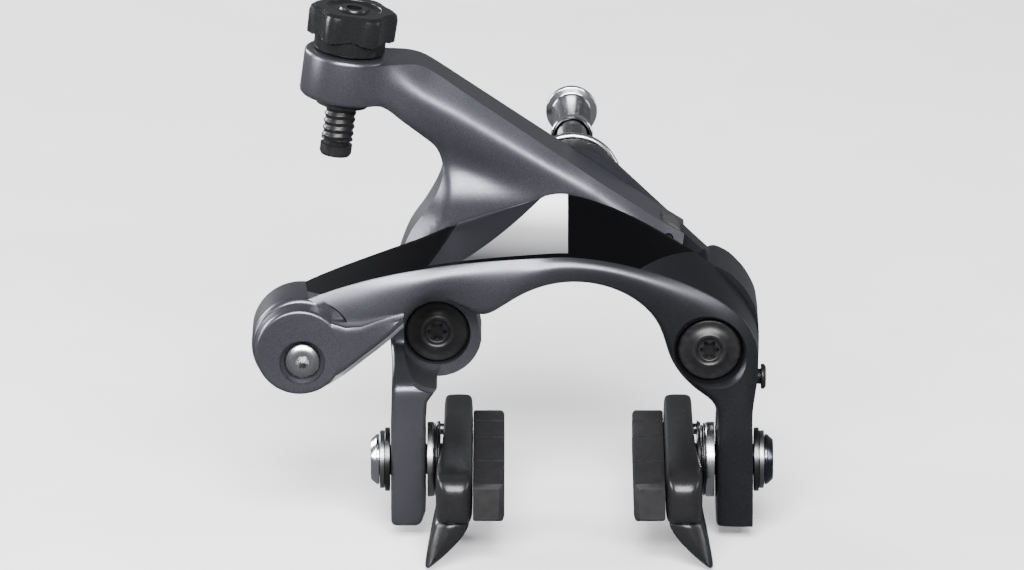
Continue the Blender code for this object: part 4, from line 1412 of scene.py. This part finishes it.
# %% [markdown]
# ### Holders and pads
# The holder is a long smooth moulding. Its top is flat and matt, its front end swells outwards into a
# glossy nose, and below the nose a curved blade guides the rim in. It is lofted through rounded
# sections along its length and smoothed by subdivision. The pad slides into it, and a few thin grooves
# across it let water out.

# %% Holder
PAD_SCREW = (0, -19.0, -44.6)
# y, then two distances from the holder's inner side, then the lower and upper z
HOLDER_ROWS = [(-59.0, 2.1, 4.5, -49.1, -45.0), (-58.6, 1.2, 5.5, -50.3, -43.6),
               (-57.3, 0.4, 6.5, -51.1, -42.3), (-55.0, 0.0, 6.9, -51.5, -41.5),
               (-51.0, 0.0, 6.9, -51.5, -41.15), (-46.0, 0.0, 6.3, -51.5, -41.1),
               (-36.0, 0.0, 5.8, -51.5, -41.1), (-20.0, 0.0, 5.5, -51.5, -41.1),
               (-9.4, 0.0, 5.5, -51.5, -41.1), (-7.9, 0.1, 5.4, -51.4, -41.15),
               (-7.5, 0.5, 5.0, -51.0, -41.5)]
# y at the front and rear, two distances from the holder's inner side, then z
BLADE = [((-57.6, -41.0), (0.4, 6.6), -50.0), ((-57.8, -43.0), (0.6, 7.0), -51.8),
         ((-58.0, -45.5), (1.6, 7.5), -53.4), ((-58.1, -48.5), (3.1, 8.0), -55.3),
         ((-58.0, -51.5), (5.2, 8.5), -57.4), ((-57.8, -53.6), (7.0, 8.8), -59.0),
         ((-57.6, -54.8), (8.0, 8.9), -59.9)]
BLADE_CREASES = {0: 0.55, 1: 0.35, 2: 0.55, 3: 0.5, 5: 0.5}


def rounded_box(x0, x1, z0, z1, y, side, corner=1.1):
    corners = [(x0, y, z0), (x1, y, z0), (x1, y, z1), (x0, y, z1)]
    ring = soften([(side * x, y, z) for x, y, z in corners], corner, closed=True, steps=2)
    return [tuple(point) for point in ring]


def holder_body(side, inner):
    rings = [rounded_box(inner + x0, inner + x1, z0, z1, y, side) for y, x0, x1, z0, z1 in HOLDER_ROWS]
    bm = loft(rings)
    return in_metres(bm)


def holder_blade(side, inner):
    """The rim guide: sections stacked downwards, each thin at the back and folded at the front."""
    rings = []
    for (front, rear), (x0, x1), z in BLADE:
        middle_x = x0 * 0.42 + x1 * 0.58
        ring = [(x0, front + 1.3, z), (middle_x, front - 0.2, z), (x1, front + 1.6, z), (x1, rear, z),
                (middle_x, rear + 0.6, z), (x0, rear, z)]
        rings.append([(side * (inner + x), y, height) for x, y, height in ring])
    bm = loft(rings)
    crease_runs(bm, rings, BLADE_CREASES)
    return in_metres(bm)


def make_holder(word, spec):
    side, inner = spec["side"], spec["face"] + HOLDER_NEAR
    outer = spec["face"] + HOLDER_FAR
    blade = add_mesh("blade", holder_blade(side, inner), holder_gloss)
    holder = add_mesh(word + "_holder_fine", holder_body(side, inner), holder_gloss)
    for thing in (blade, holder):
        subdivide(thing, 2)
    join(holder, blade)
    cut(holder, drill(STUD, (side, 0, 0), inner + 1.9, outer + 3, M6_HOLE))
    cut(holder, drill(PAD_SCREW, (side, 0, 0), outer - 2.6, outer + 3, 1.35, 24))
    smooth(holder, 40)
    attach(holder, word + "_shoe")
    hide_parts(word + "_holder")
    screw = [(0, outer - 2.3), (1.05, outer - 2.3), (1.05, outer + 0.2), (1.6, outer + 0.2),
             (1.3, outer + 0.9), (0, outer + 0.9)]
    shape = place(turned(screw, 32, corner=0.2), PAD_SCREW, (side, 0, 0))
    piece(word + "_pad_screw_fine", shape, satin_steel, word + "_shoe", word + "_pad_screw")


# %% Pad
GROOVES = (-17.5, -27.5, -42.0)
PAD_THICKNESS = 5.85
# y, then how far the face is set back, then the lower and upper z
PAD_ROWS = [(-56.5, 1.0, -50.4, -44.5), (-55.6, 0.2, -50.95, -43.7), (-53.5, 0.0, -51.0, -43.5),
            (-12.0, 0.0, -51.0, -43.5), (-10.2, 0.3, -50.95, -43.7), (-9.5, 1.1, -50.4, -44.3)]


def make_pad(word, spec):
    side, face, back = spec["side"], spec["face"], spec["face"] + PAD_THICKNESS
    rings = [rounded_box(face + x, back, z0, z1, y, side, 0.45) for y, x, z0, z1 in PAD_ROWS]
    pad = piece(word + "_pad_fine", in_metres(loft(rings)), rubber, word + "_shoe", word + "_pad")
    for y in GROOVES:
        deep = block(side * (face - 1), side * (face + 2.2), -53, -41, y - 0.55, y + 0.55)
        thin = block(side * (face - 1), side * (back + 1), -43.85, -41, y - 0.22, y + 0.22)
        cut(pad, deep, thin)
    smooth(pad, 35)


for word, spec in (("left", LEFT_SHOE), ("right", RIGHT_SHOE)):
    make_holder(word, spec)
    make_pad(word, spec)
print("shoes done")

# %% [markdown]
# ## Centring screw
# A small black screw in the right leg sets how far each arm stands from the rim. Its domed head with a
# hexagon socket peeps out at the side.

# %% Centring screw
def make_centering_screw():
    profile = [(0, 28.0), (1.0, 28.0), (1.45, 28.5), (1.45, 35.1), (2.3, 35.1), (2.4, 35.3), (2.35, 35.7),
               (1.9, 36.05), (0, 36.1)]
    screw = piece("centering_screw_fine", place(turned(profile, 40), SCREW_PLACE, SIDEWAYS), oxide,
                  "centering", "centering_screw")
    cut(screw, hexagon(SCREW_PLACE, SIDEWAYS, 35.3, 37, 1.2))
    smooth(screw)


make_centering_screw()

# %% [markdown]
# ## Plain parts that only need a finish
# A few small parts are right as they are, and only take their material.

# %% Finish the remaining nodes
PLAIN = {"adjuster_seal": rubber, "left_spring_slider": nylon, "right_spring_slider": nylon,
         "roller_pin": oxide, "link_roller": nylon}
for node, material in PLAIN.items():
    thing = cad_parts[node]
    thing.data.materials.clear()
    thing.data.materials.append(material)

# %% [markdown]
# ## Last step
# The finished surface has to stay inside the box of the solid model, because the solids are what other
# parts are fitted to. Here the scene is only brought up to date.

# %% Update the scene
bpy.context.view_layer.update()
